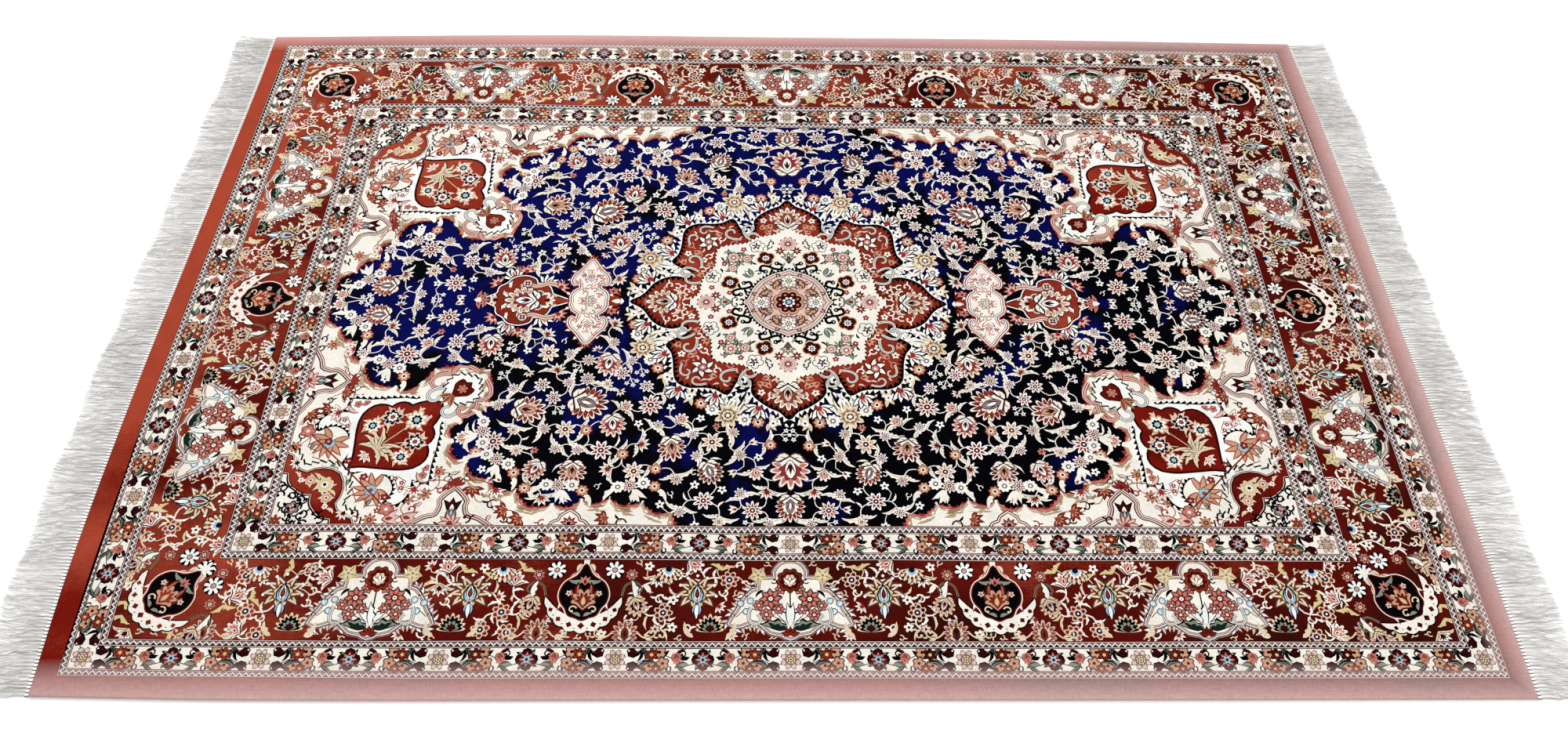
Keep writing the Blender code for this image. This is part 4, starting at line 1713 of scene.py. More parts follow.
def red_pendant():
    """The large red palmette pendant, which points both ways along the rug."""
    stem = Place(0.434)
    half = [0.068, 0.056 + 0.006j, 0.044 + 0.013j, 0.041 + 0.026j, 0.030 + 0.034j, 0.020 + 0.046j,
            0.002 + 0.050j, -0.014 + 0.044j, -0.018 + 0.034j, -0.032 + 0.034j, -0.041 + 0.024j,
            -0.046 + 0.012j, -0.060 + 0.006j, -0.076]
    outline = both_sides(smooth(half, 3))
    even = spaced(grown(outline, 0.0030), 0.0100)
    for p, n in zip(even, normals(even)):
        leaf(Place(p, facing(n) + 14), 0.0115, 0.0072, 0.4, "ivory")
    for x, y, turn in ((0.020, 0.048, 66), (-0.034, 0.034, 122)):
        for flip in (False, True):
            shell(stem.twin(complex(x, y), turn, flip))
    layered(stem, outline, ((0.0050, "black"), (0.0036, "white"), (0.0016, "maroon")))
    draw(stem, toothed(grown(outline, -0.0014), 0.0060, 0.0028, 0.35), "brick")
    for flip in (False, True):
        volute(stem.twin(0.002 + 0.024j, 10, flip), 0.017, "ivory", "maroon")
        volute(stem.twin(-0.024 + 0.020j, 170, not flip), 0.014, "ivory", "maroon")
        for at, turn, size in ((-0.050 + 0.003j, 10, 0.010), (0.036 + 0.014j, 120, 0.012)):
            curl(stem.twin(at, turn, flip), size, 0.0018, "cream")
        daisy(stem.twin(0.014 + 0.016j, 0, flip), 0.0056, 5, "ivory", "maroon", None, 0.4)
        daisy(stem.twin(-0.024 + 0.010j, 0, flip), 0.0056, 5, "blush", "maroon", None, 0.4)
    for flip in (False, True):
        handle = [stem.twin(p, 0, flip).at for p in (-0.058 + 0.030j, -0.040 + 0.036j, -0.018 + 0.030j,
                                                     -0.004 + 0.036j)]
        draw(Place(), ribbon(smooth(handle, 3), 0.0110, 0.7), "black")
        draw(Place(), ribbon(smooth(handle, 3), 0.0090, 0.7), "blush")
        draw(Place(), ribbon(smooth(handle, 3), 0.0016, 0.7), "rose")
        knob = stem.twin(-0.002 + 0.036j, 0, flip)
        draw(knob, circle(0.0092, 10), "maroon")
        draw(knob, circle(0.0078, 10), "blush")
        daisy(knob, 0.0056, 4, "maroon", "ivory", None, 0.5)
        for at, turn in ((0.002 + 0.062j, 96), (0.046 + 0.036j, 40), (-0.060 + 0.028j, 150)):
            fan(stem.twin(at, turn, flip).inside(-0.006), 0.0240, "pink", "ivory", "rose", "black")
        for at, turn in ((0.024 + 0.026j, 60), (0.026 + 0.008j, 20), (-0.030 + 0.012j, 150),
                         (0.010 + 0.014j, 100)):
            plume(stem.twin(at, turn, flip), 0.0150, 0.0062, 0.6, "ivory", "maroon", 5)
    palmette(stem.inside(-0.024), 0.056, "ivory", "peach", "rose", "white", "maroon", "black")
    for at, turn in ((-0.040, 180), (0.048, 0)):
        fan(stem.inside(at - 0.006 * math.cos(math.radians(turn)), turn), 0.022, "ivory", "peach", "maroon")
    flower(stem.inside(0.066, 0), "lily_bloom", 0.024)
    fan(Place(0.512, 180).inside(-0.004), 0.030, "pink", "rose", "ivory", "black")
    tip = Place(0.286)
    for flip in (False, True):
        grow(tip, (
            (leaf, -0.010, 60, 0.026, 0.0090, 0.5, "ivory", "brick"),
            (leaf, -0.006, 110, 0.024, 0.0080, -0.5, "brick", "black"),
            (daisy, 0.002 + 0.020j, 0, 0.0085, 6, "pink", "maroon", None, 0.4),
        ), flip)
    tulip(tip.inside(-0.016), 0.030, "brick", "ivory", "black")


# ------------------------------------------------------------ field: corner pieces


def serrated(place, outline, pitch, height):
    """A dark saw-toothed line on white."""
    teeth = toothed(outline, pitch, height, 0.35)
    draw(place, grown(outline, height * 0.7), "white")
    draw(place, hoop(teeth, 0.0030), "black")


def acanthus(place):
    """A big white leaf that wraps round a peach palmette beside the ogee; +x and +y as the ogee's."""
    palm = place.inside(-0.080 + 0.056j, 200)
    for bend in (-130, 130, -92, 92, -58, 58, -26, 26, 0):
        leaf(palm.inside(-0.004, bend), 0.0300, 0.0080, 0.1, "peach", "rust")
    stack(palm, (
        (lobes, "ink", 0.0105, 8, 0.3, 3), (lobes, "sky", 0.0092, 8, 0.3, 3), (circle, "rust", 0.0038, 6),
    ))
    back = smooth([-0.020 + 0.078j, -0.029 + 0.086j, -0.040 + 0.096j, -0.056 + 0.102j, -0.071 + 0.099j,
                   -0.080 + 0.086j], 4)
    bowl = smooth([-0.080 + 0.086j, -0.066 + 0.083j, -0.054 + 0.074j, -0.049 + 0.056j, -0.055 + 0.038j,
                   -0.067 + 0.022j, -0.086 + 0.012j], 4)
    foot = [-0.060 + 0.014j, -0.030 + 0.046j]
    draw(place, back + bowl[1:] + foot, "white")
    draw(place, saw(back, 0.0092, 0.0052, 0.0014), "black")
    draw(place, saw(bowl, 0.0074, -0.0046, -0.0016), "black")
    inner = smooth([-0.034 + 0.078j, -0.052 + 0.088j, -0.044 + 0.064j, -0.042 + 0.048j], 3)
    draw(place, hoop(inner, 0.0013), "rust")
    for at in (-0.040 + 0.076j, -0.046 + 0.082j, -0.043 + 0.064j):
        daisy(place.inside(at), 0.0044, 5, "rose", "ivory", None, 0.4)


def ogee_outline():
    """The corner ogee's outline, with lobes on its inner shoulders and a plain outer end."""
    cusps = [0.0835 + 0j, 0.0474 + 0.0259j, 0.0234 + 0.0462j, -0.0134 + 0.0655j]
    shoulders = scallops(cusps, (0.10, 0.22, 0.24), 5)
    side = smooth([-0.0134 + 0.0655j, -0.024 + 0.059j, -0.035 + 0.049j, -0.047 + 0.035j, -0.058 + 0.022j,
                   -0.070 + 0.009j, -0.083 + 0j], 2)
    return both_sides(shoulders + side[1:])


def ogee_flowers(place):
    """The bunch of flowers tied in the ogee's outer end."""
    root = place.inside(-0.037)
    flowers = ((-0.016 + 0.038j, 0.0145, "ivory", "peach"), (0.014 + 0.030j, 0.0165, "ink", "blush"),
               (0.038 + 0j, 0.0180, "ivory", "peach"), (0.014 - 0.030j, 0.0165, "ink", "blush"),
               (-0.016 - 0.038j, 0.0145, "ivory", "peach"))
    for at, _, _, _ in flowers:
        reach = at + 0.037
        middle = reach * 0.5 * cmath.exp(-0.25j * cmath.phase(reach))
        draw(root, ribbon(smooth([0j, middle, reach], 3), 0.0012), "cream")
    for turn, length in ((-104, 0.026), (104, 0.026), (-66, 0.030), (66, 0.030), (-40, 0.030), (40, 0.030),
                         (-14, 0.036), (14, 0.036)):
        side = 1 if turn > 0 else -1
        plume(root.inside(0.002, turn * 0.9), length * 1.1, 0.0084, 0.5 * side, "cream", "maroon", 6)
        leaf(root.inside(0.005, turn * 0.9), length * 0.7, 0.0020, 0.5 * side, "olive")
    fan(root.inside(-0.010, 180), 0.0210, "ivory", "rose", "cream")
    draw(root, ribbon([0.012j, -0.012j], 0.0026), "cream")
    for at, size, petal, rim in flowers:
        spot = place.inside(at, facing(at + 0.037))
        for bend in (0, 72, -72, 144, -144):
            plume(spot.inside(0, bend + 20), size * 1.35, size * 0.50, 0.4, "cream", None, 5)
        stack(spot, (
            (lobes, rim, size, 8, 0.34, 4), (lobes, petal, size * 0.86, 8, 0.40, 4, 0.0, 1.0),
            (lobes, "black" if petal == "ivory" else "white", size * 0.50, 8, 0.26, 3),
            (circle, "rust" if petal == "ink" else "sky", size * 0.26, 7),
        ))
    for flip in (False, True):
        leaf(place.twin(0.060 + 0.008j, 150, flip), 0.0150, 0.0056, 0.6, "blush")
        leaf(place.twin(0.032 + 0.038j, 200, flip), 0.0130, 0.0050, 0.6, "cream")


def corner_piece():
    """The red ogee on the field's diagonal, its toothed frame, and what stands round it."""
    place = Place(0.592 + 0.2595j, 223.8)
    # Local +x runs down the diagonal towards the rug's middle.
    outline = ogee_outline()
    frame_half = [0.104 + 0.003j, 0.089 + 0.006j, 0.072 + 0.016j, 0.056 + 0.037j, 0.034 + 0.060j,
                  0.009 + 0.081j, -0.012 + 0.102j, -0.022 + 0.088j, -0.034 + 0.068j, -0.056 + 0.040j,
                  -0.074 + 0.016j, -0.096]
    frame_line = both_sides(smooth(frame_half, 3))
    draw(place, grown(frame_line, 0.0060), "white")
    for flip in (False, True):
        acanthus(place.inside(0, 0, 1, flip))
    draw(place, frame_line, "white")
    edge_line = smooth(frame_half[:8], 4)
    for flip in (False, True):
        side = place.inside(0, 0, 1, flip)
        draw(side, saw(edge_line, 0.0094, 0.0050, 0.0014), "black")
        for at, turn in ((0.020 + 0.062j, 150), (0.000 + 0.078j, 190), (-0.010 + 0.086j, 60)):
            daisy(side.inside(at, turn), 0.0056, 5, "pink", "red", "rust", 0.4)
    layered(place, outline, ((0.0088, "white"), (0.0026, "black"), (0.0012, "maroon"), (-0.0010, "band")))
    ogee_flowers(place)
    small = place.inside(0.118)
    ring = [0.032, 0.024 + 0.014j, 0.012 + 0.027j, -0.008 + 0.024j, -0.020 + 0.012j, -0.026]
    for flip in (False, True):
        volute(small.twin(-0.034 + 0.030j, 170, not flip), 0.026, "white", "green")
        volute(small.twin(-0.012 + 0.048j, 160, flip), 0.030, "blush", "rose")
        volute(small.twin(0.030 + 0.036j, 130, flip), 0.030, "blush", "rose")
    serrated(small, both_sides(smooth(ring, 3)), 0.0105, 0.0054)
    heart = [0.020, 0.014 + 0.006j, 0.014 + 0.014j, 0.002 + 0.015j, -0.006 + 0.009j, -0.018]
    layered(small, both_sides(smooth(heart, 3)), ((0.0016, "black"), (0.0002, "red")))
    bloom(small.inside(0.003), 0.0084, 6, "peach", "rose", "rust", "white")
    for turn in (140, 180, 220):
        leaf(small.inside(-0.014, turn), 0.0220, 0.0066, 0.0, "rust", "sand")


def diagonal_leaf():
    """The thin red line across the corner, with a toothed leaf along it."""
    start, end = 0.724 + 0.253j, 0.583 + 0.386j
    outwards = (end - start) / abs(end - start) * -1j

    def at(share, out):
        return start + (end - start) * share + outwards * out

    zigzags = ((0.08, 0.006), (0.12, 0.016), (0.20, 0.012), (0.22, 0.022), (0.32, 0.014),
               (0.34, 0.022), (0.44, 0.008), (0.50, 0.012), (0.56, 0.008), (0.66, 0.022),
               (0.68, 0.014), (0.78, 0.022), (0.80, 0.012), (0.88, 0.016), (0.92, 0.006))
    leaf_edge = [start] + [at(share, out) for share, out in zigzags] + [end]
    draw(Place(), ribbon(leaf_edge, 0.0016), "rust")
    for share in (0.14, 0.40, 0.60, 0.86):
        leaf(Place(at(share, 0.005), 40), 0.012, 0.005, 0.5, "sage", "green")
        daisy(Place(at(share + 0.05, -0.010)), 0.0056, 5, "rose", "cream", "maroon", 0.4)
    draw(Place(), ribbon([start, (start + end) / 2, end], 0.0024), "brick")
    for point in (start, end):
        daisy(Place(point), 0.0100, 5, "pink", "ivory", "rust", 0.35)


# The cusps of the red triangle and of the ivory one inside it, from the field's corner.
TRIANGLE = (0.03 - 0.126j, -0.006 - 0.112j, -0.033 - 0.083j, -0.081 - 0.081j, -0.083 - 0.033j,
            -0.112 - 0.006j, -0.126 + 0.03j)
INNER_TRIANGLE = (0.03 - 0.086j, -0.006 - 0.082j, -0.022 - 0.054j, -0.046 - 0.046j, -0.054 - 0.022j,
                  -0.082 - 0.006j, -0.086 + 0.03j)
# The red triangle's flowers: (x, y, kind), from the field's corner.
TRIANGLE_FLOWERS = (
    (-0.064, -0.064, "star"), (-0.042, -0.071, "cream"), (-0.071, -0.042, "cream"),
    (-0.013, -0.100, "side"), (-0.100, -0.013, "side"), (-0.058, -0.077, "leaf"),
    (-0.077, -0.058, "leaf"), (-0.029, -0.080, "leaf"), (-0.080, -0.029, "leaf"),
    (-0.028, -0.072, "small"), (-0.072, -0.028, "small"),
)
# The ivory triangle's black curls: (turn, x, y).
TRIANGLE_CURLS = (
    (200, -0.046, -0.010), (250, -0.010, -0.046), (40, -0.036, -0.006), (50, -0.006, -0.036),
    (100, -0.016, -0.010), (290, -0.052, -0.003), (160, -0.003, -0.054), (20, -0.026, -0.012),
    (70, -0.012, -0.026), (230, -0.038, -0.024), (215, -0.024, -0.040), (330, -0.044, -0.018),
    (120, -0.018, -0.044), (190, -0.062, -0.008), (260, -0.008, -0.062), (150, -0.066, -0.002),
    (300, -0.002, -0.068), (240, -0.040, -0.036), (60, -0.034, -0.042),
)


def triangle(cusps, bulges):
    """A scalloped triangle's outline, which reaches past the field's corner."""
    corner = complex(*FIELD)
    line = scallops([corner + cusp for cusp in cusps], bulges, 4)
    return anticlockwise(line + [corner + (0.03 + 0.03j)])


def triangle_flower(at, kind, side):
    """A flower of the red triangle; side is 1 beyond the diagonal and -1 before it."""
    spot = Place(at, 225)
    if kind == "star":
        for turn in (-100, -60, 60, 100, 150, -150):
            leaf(spot.inside(0, turn), 0.0190, 0.0060, 0.3, "cream", "umber")
        rimmed_bloom(spot, 0.0135, 8, "cream", "yellow", "white", "ink")
    elif kind == "cream":
        for turn in (0, 90, 180, 270):
            leaf(spot.inside(0, turn + 30), 0.0125, 0.0052, 0.4, "cream")
        rimmed_bloom(spot, 0.0088, 7, "cream", "peach", "ivory", "maroon")
    elif kind == "small":
        daisy(spot, 0.0050, 6, "ivory", "rust", None, 0.4)
    elif kind == "leaf":
        plume(spot.inside(-0.006, 40 * side), 0.0135, 0.0056, 0.8 * side, "cream", None, 6)
    else:
        fan(Place(at, 45 - 25 * side).inside(-0.008), 0.0185, "ivory", "rust", "maroon", "black")


def corner_triangle():
    """The red scalloped triangle in the field's corner and the ivory one inside it."""
    a, b = FIELD
    outer = triangle(TRIANGLE, (0.0, 0.16, -0.16, -0.16, 0.16, 0.0))
    draw(Place(), hoop(toothed(grown(outer, 0.0120), 0.0110, 0.0050, 0.4), 0.0028), "black")
    layered(Place(), outer, (
        (0.0062, "white"), (0.0048, "maroon"), (0.0036, "blush"), (0.0022, "black"), (0.0004, "band"),
    ))
    for x, y, kind in TRIANGLE_FLOWERS:
        triangle_flower(complex(a + x, b + y), kind, 1 if x > y else -1)
    inner = triangle(INNER_TRIANGLE, (0.0, 0.14, 0.14, 0.14, 0.14, 0.0))
    layered(Place(), inner, ((0.0044, "maroon"), (0.0030, "blush"), (0.0018, "black"), (-0.0006, "ivory")))
    rimmed_bloom(Place(complex(a - 0.026, b - 0.026)), 0.0120, 6, "black", "mauve", "blush", "rose")
    for turn, x, y in TRIANGLE_CURLS:
        curl(Place(complex(a + x, b + y), turn), 0.0150, 0.0030, "black")
    bloom(Place(complex(a - 0.006, b - 0.006)), 0.0105, 6, "rust", "brick", "maroon", "cream")


def half_palmette(place, width, height):
    """A pointed arch that stands on the field's edge; +y is into the field."""
    half = [complex(width * 0.62, -0.012), complex(width * 0.34, 0.010), complex(width * 0.20, height * 0.26),
            complex(width * 0.15, height * 0.50), complex(width * 0.16, height * 0.66),
            complex(width * 0.09, height * 0.84), complex(0, height)]
    layered(place, arch(smooth(half, 3)), (
        (0.0050, "rose"), (0.0036, "ivory"), (0.0022, "maroon"), (0.0008, "blush"),
        (-0.0014, "black"), (-0.0032, "ivory"),
    ))
    cup = place.inside(complex(0, height * 0.40), 90)
    tulip(cup.inside(-0.004), height * 0.36, "maroon", "ivory", "black")
    leaf(cup.inside(-0.018, 0), height * 0.34, 0.0062, 0.0, "sky", "grey")
    for flip in (False, True):
        leaf(cup.twin(-0.020, 40, flip), height * 0.36, 0.0060, -0.5, "sage", "grey")
        foot = complex((-1 if flip else 1) * width * 0.20, 0.004)
        curl(place.inside(foot, 0, 1, flip), 0.0160, 0.0030, "maroon")
    for turn in (0, 36, 72, 108, 144, 180):
        leaf(place.inside(0.002j, turn), 0.0175, 0.0070, 0.0, "blush", "rose")
    draw(place, circle(0.0050, 8, 0.002j), "rose")
    for side in (1, -1):
        flip = side < 0
        stalk = [complex(0, height * 1.06), complex(side * width * 0.16, height * 1.22),
                 complex(side * width * 0.40, height * 1.16), complex(side * width * 0.52, height * 0.86)]
        draw(place, ribbon(smooth(stalk, 3), 0.0018), "rust")
        droop = place.inside(stalk[-1], -75 if not flip else -105)
        fan(droop.inside(-0.012), 0.0250, "ivory", "rose", "rose", "rust")
        curl(place.inside(stalk[1], 70 if not flip else 110, 1, flip), 0.0130, 0.0016, "black")
        leaf(place.inside(stalk[2], 20 if not flip else 160), 0.0200, 0.0060, 0.6 * side, "blush", "rust")
    fan(place.inside(complex(0, height * 1.02), 90), 0.0200, "rose", "brick", "brick", "maroon")


def edge_motifs():
    half_palmette(Place(complex(FIELD[0], 0.160), 90), 0.118, 0.062)
    half_palmette(Place(complex(0.489, FIELD[1]), 180), 0.118, 0.060)
    dome = Place(complex(0.318, FIELD[1]), 180)
    half = smooth([0.032 - 0.012j, 0.023 + 0.003j, 0.014 + 0.007j, 0.011 + 0.014j, 0.022j], 3)
    layered(dome, arch(half), ((0.0042, "black"), (0.0026, "ivory"), (0.0010, "rose"), (-0.0008, "ivory")))
    fan(dome.inside(-0.002j, 90), 0.018, "rose", "cream", "maroon", "black")


# Spots of the ivory ground that its larger motifs take: (x, y, radius).
IVORY_TAKEN = (
    (0.592, 0.2595, 0.080), (0.508, 0.178, 0.040), (0.708, 0.374, 0.076), (0.744, 0.160, 0.052),
    (0.489, 0.410, 0.050), (0.318, 0.410, 0.030), (0.650, 0.319, 0.044), (0.690, 0.270, 0.036),
    (0.610, 0.350, 0.036), (0.668, 0.232, 0.026), (0.560, 0.330, 0.026),
)
# Its small leaves and its flowers: (upper limit of the chance, motif, spot, its own values).
IVORY_BUDS = (
    (0.30, leaf, -0.006, 0.0135, 0.0050, 0.7, "blush", "umber"),
    (0.66, curl, -0.004 - 0.005j, 0.0135, 0.0024, ("rose", "black", "black")),
    (0.80, plume, -0.006, 0.0135, 0.0052, 0.6, ("sage", "olive"), None, 5),
    (1.00, daisy, 0, 0.0054, 5, ("pink", "brick"), "ivory", None, 0.4),
)
IVORY_FLOWERS = (
    (0.40, fan, -0.010, 0.0250, "brick", "peach", "rust", "maroon"),
    (0.68, bloom, 0, 0.0115, 8, "rust", "peach", "brick", "cream"),
    (0.84, curl, -0.006 - 0.007j, 0.0200, 0.0026, "black"),
    (1.00, tulip, -0.010, 0.0220, "blush", "rose", "rust"),
)


def ivory_ground(edge):
    """Flowers, dark curled leaves and thin stems between the corner pieces and the flames."""
    shore = grown(edge, 0.024)
    a, b = FIELD
    box = (0, complex(a, b))

    def inside(point):
        return point.real < a - 0.006 and point.imag < b - 0.006 and not contains(shore, point)

    for x, y, radius in IVORY_TAKEN:
        hold(complex(x, y), radius)
    medium = scatter(inside, box, 0.0115, 4000)
    for first, second in tree(medium, IVORY_VINE_REACH):
        vine(first, second, rng.choice((-0.3, 0.3)), 0.0014, "rust")
    for point in scatter(inside, box, 0.0048, 6000):
        one_of(Place(point, rng.uniform(0, 360)), IVORY_BUDS)
    for point in medium:
        one_of(Place(point, rng.uniform(0, 360)), IVORY_FLOWERS)


def build_field():
    rectangle(FIELD, "ivory")
    edge = scallops(FIELD_EDGE, FIELD_BULGES, 5) + [-0.02 + 0.43j, -0.02 - 0.03j]
    ivory_ground(edge)
    flames()
    corner_piece()
    diagonal_leaf()
    corner_triangle()
    edge_motifs()
    draw(Place(), edge, "navy")
    navy_ground(edge)
    red_pendant()
    pink_pendant()
    medallion()


# ------------------------------------------------------------ the laid sheet


def along(table, place):
    """The second column of a table at a place in its first column, on a smooth curve."""
    places = [row[0] for row in table]
    values = [row[1] for row in table]
    place = min(max(place, places[0]), places[-1])
    index = 0
    while index < len(places) - 2 and place > places[index + 1]:
        index += 1
    slopes = []
    for knot in (index, index + 1):
        low = max(knot - 1, 0)
        high = min(knot + 1, len(places) - 1)
        slopes.append((values[high] - values[low]) / (places[high] - places[low]))
    span = places[index + 1] - places[index]
    t = (place - places[index]) / span
    rise = 3.0 * t * t - 2.0 * t * t * t
    start_slope = (t * t * t - 2.0 * t * t + t) * span * slopes[0]
    end_slope = (t * t * t - t * t) * span * slopes[1]
    return values[index] + rise * (values[index + 1] - values[index]) + start_slope + end_slope


def end_x(side, y):
    """Where the rug's end is at a distance across; side is -1 for the left end, 1 for the right."""
    table = LEFT_END_BOW if side < 0 else RIGHT_END_BOW
    return side * (RUG_LENGTH / 2 + along(table, y))


def side_y(side, x):
    """Where the rug's long edge is at a distance along; side is -1 for near and 1 for far."""
    table = NEAR_SIDE_BOW if side < 0 else FAR_SIDE_BOW
    return side * (RUG_WIDTH / 2 + along(table, x))


def swell_height(x, y):
    height = 0.0
    for centre_x, centre_y, reach_x, reach_y, top in SWELLS:
        distance = math.hypot((x - centre_x) / reach_x, (y - centre_y) / reach_y)
        if distance < 1.0:
            height += top * (1.0 - distance * distance) ** 2
    return height


def laid_point(x, y):
    """Moves a point of the straight-edged sheet to where the real one lies."""
    share_x = abs(x) / (RUG_LENGTH / 2)
    share_y = abs(y) / (RUG_WIDTH / 2)
    side_of_x = math.copysign(1.0, x)
    side_of_y = math.copysign(1.0, y)
    bow_x = end_x(side_of_x, y) - side_of_x * RUG_LENGTH / 2
    bow_y = side_y(side_of_y, x) - side_of_y * RUG_WIDTH / 2
    new_x = x + bow_x * share_x ** BOW_POWER
    new_y = y + bow_y * share_y ** BOW_POWER
    return new_x, new_y, swell_height(new_x, new_y)


def woven_point(x, y):
    """The same, with the slight unevenness of lines knotted by hand."""
    calm = (1 - (2 * x / RUG_LENGTH) ** 4) * (1 - (2 * y / RUG_WIDTH) ** 4)
    drift_x = 0.0
    drift_y = 0.0
    for height, across, down, phase in HAND_WAVES:
        drift_x += height * math.sin(across * x + down * y + phase)
        drift_y += height * math.sin(down * x - across * y + 2.3 * phase)
    return laid_point(x + calm * drift_x, y + calm * drift_y)


# ------------------------------------------------------------ from the drawing to meshes


def inside_outline(outline, centres):
    """Which of the centres an outline goes round, as true or false for each."""
    starts = outline[:, None]
    ends = np.roll(outline, -1)[:, None]
    left = ((ends - starts).conjugate() * (centres - starts)).imag
    rising = (starts.imag <= centres.imag) & (centres.imag < ends.imag) & (left > 0)
    falling = (ends.imag <= centres.imag) & (centres.imag < starts.imag) & (left < 0)
    turns = rising.sum(axis=0) - falling.sum(axis=0)
    return turns * math.copysign(1, area(list(outline))) > 0


def paint(shapes, region):
    """Flat triangles of a region's drawing, each with the colour of the topmost shape."""
    x0, y0, x1, y1 = region
    coords = [Vector((x0, y0)), Vector((x1, y0)), Vector((x1, y1)), Vector((x0, y1))]
    edges = [(0, 1), (1, 2), (2, 3), (3, 0)]
    here = []
    for colour, points in shapes:
        xs = [p.real for p in points]
        ys = [p.imag for p in points]
        if max(xs) <= x0 or min(xs) >= x1 or max(ys) <= y0 or min(ys) >= y1:
            continue
        start, count = len(coords), len(points)
        edges.extend((start + k, start + (k + 1) % count) for k in range(count))
        coords.extend(Vector((p.real, p.imag)) for p in points)
        here.append((colour, np.array(points)))
    verts, _, triangles, _, _, _ = delaunay_2d_cdt(coords, edges, [], 0, WELD, False)
    places = np.array([complex(v.x, v.y) for v in verts])
    corners = np.array(triangles)
    centres = places[corners].mean(axis=1)
    within = (centres.real > x0) & (centres.real < x1) & (centres.imag > y0) & (centres.imag < y1)
    corners, centres = corners[within], centres[within]
    order = np.argsort(centres.real)
    corners, centres = corners[order], centres[order]
    paints = [BAND_COLOUR] * len(centres)
    bare = np.ones(len(centres), dtype=bool)
    for colour, outline in here[::-1]:
        first, last = np.searchsorted(centres.real, (outline.real.min(), outline.real.max()))
        near = bare[first:last] & (centres.imag[first:last] > outline.imag.min())
        near &= centres.imag[first:last] < outline.imag.max()
        chosen = first + np.flatnonzero(near)
        chosen = chosen[inside_outline(outline, centres[chosen])]
        bare[chosen] = False
        for index in chosen:
            paints[index] = colour
    return verts, [tuple(map(int, row)) for row in corners], paints


def colour_lines(verts, triangles, paints, region):
    """The edges between two colours, as pairs of points, without needless points along them."""
    beside = {}
    for corners, colour in zip(triangles, paints):
        for a, b in zip(corners, corners[1:] + corners[:1]):
            beside[a, b] = colour
    links = {}
    for (a, b), colour in beside.items():
        other = beside.get((b, a))
        if other is not None and other != colour and a < b:
            links.setdefault(a, set()).add(b)
            links.setdefault(b, set()).add(a)
    for point in list(links):
        ends = links.get(point)
        if ends is None or len(ends) != 2:
            continue
        at = verts[point]
        if on_rim(at, region):
            continue
        a, b = ends
        start, end = verts[a], verts[b]
        span = end - start
        if b in links[a] or span.length > GRID_PITCH or span.length < WELD:
            continue
        offset = abs(span.cross(at - start)) / span.length
        if offset < LINE_TOLERANCE:
            links[a].remove(point)
            links[b].remove(point)
            links[a].add(b)
            links[b].add(a)
            del links[point]
    return [(a, b) for a, ends in links.items() for b in ends if a < b]


def snapped(point, region):
    """A point as a pair; one that is almost on the region's rim is moved right onto it."""
    x, y = point[0], point[1]
    x0, y0, x1, y1 = region
    for line in (x0, x1):
        if abs(x - line) < 2 * WELD:
            x = line
    for line in (y0, y1):
        if abs(y - line) < 2 * WELD:
            y = line
    return x, y


def on_rim(point, region):
    x, y = snapped(point, region)
    x0, y0, x1, y1 = region
    return x in (x0, x1) or y in (y0, y1)


def even_steps(low, high, pitch):
    count = max(1, round((high - low) / pitch))
    return [low + (high - low) * k / count for k in range(count + 1)]


def remesh(painted, lines, rim_points, region, pitch):
    """Triangles that keep the lines between colours, with the grid's points in between."""
    verts, triangles, paints = painted
    x0, y0, x1, y1 = region
    coords = []
    number = {}
    edges = []

    def add(point):
        x, y = snapped(point, region)
        key = (round(x, 7), round(y, 7))
        if key not in number:
            number[key] = len(coords)
            coords.append(Vector(key))
        return number[key]

    for a, b in lines:
        edges.append((add(verts[a]), add(verts[b])))
    for point in rim_points:
        add(point)
    for x in even_steps(x0, x1, pitch)[1:-1]:
        for y in even_steps(y0, y1, pitch)[1:-1]:
            add((x, y))
    new_verts, _, new_triangles, _, _, _ = delaunay_2d_cdt(coords, edges, [], 0, WELD, False)
    lookup = BVHTree.FromPolygons([(v.x, v.y, 0.0) for v in verts], triangles)
    kept = []
    colours = []
    for corners in new_triangles:
        centre = (new_verts[corners[0]] + new_verts[corners[1]] + new_verts[corners[2]]) / 3
        hit = lookup.ray_cast(Vector((centre.x, centre.y, 1.0)), Vector((0.0, 0.0, -1.0)))[2]
        if hit is not None:
            kept.append(corners)
            colours.append(paints[hit])
    return [(v.x, v.y) for v in new_verts], kept, colours


def rim_grid(region):
    x0, y0, x1, y1 = region
    points = [(x, y) for x in even_steps(x0, x1, GRID_PITCH) for y in (y0, y1)]
    points += [(x, y) for y in even_steps(y0, y1, GRID_PITCH) for x in (x0, x1)]
    return points


def flat_regions(shapes):
    """The front's and the back's flat meshes for each of the quarter's regions."""
    back_shapes = [(colour, points) for colour, points in shapes if short_side(points) > BACK_DETAIL]
    regions = {}
    for column in range(2):
        for row in range(2):
            region = (COLUMN_LINES[column], ROW_LINES[row], COLUMN_LINES[column + 1], ROW_LINES[row + 1])
            front = paint(shapes, region)
            back = paint(back_shapes, region)
            front_lines = colour_lines(*front, region)
            back_lines = colour_lines(*back, region)
            rim = rim_grid(region)
            for painted, lines in ((front, front_lines), (back, back_lines)):
                for line in lines:
                    rim.extend(tuple(painted[0][k]) for k in line if on_rim(painted[0][k], region))
            regions[column, row] = (
                remesh(front, front_lines, rim, region, GRID_PITCH),
                remesh(back, back_lines, rim, region, BACK_PITCH),
            )
    return regions


def short_side(points):
    """The shorter side of the box round a shape."""
    xs = [p.real for p in points]
    ys = [p.imag for p in points]
    return min(max(xs) - min(xs), max(ys) - min(ys))


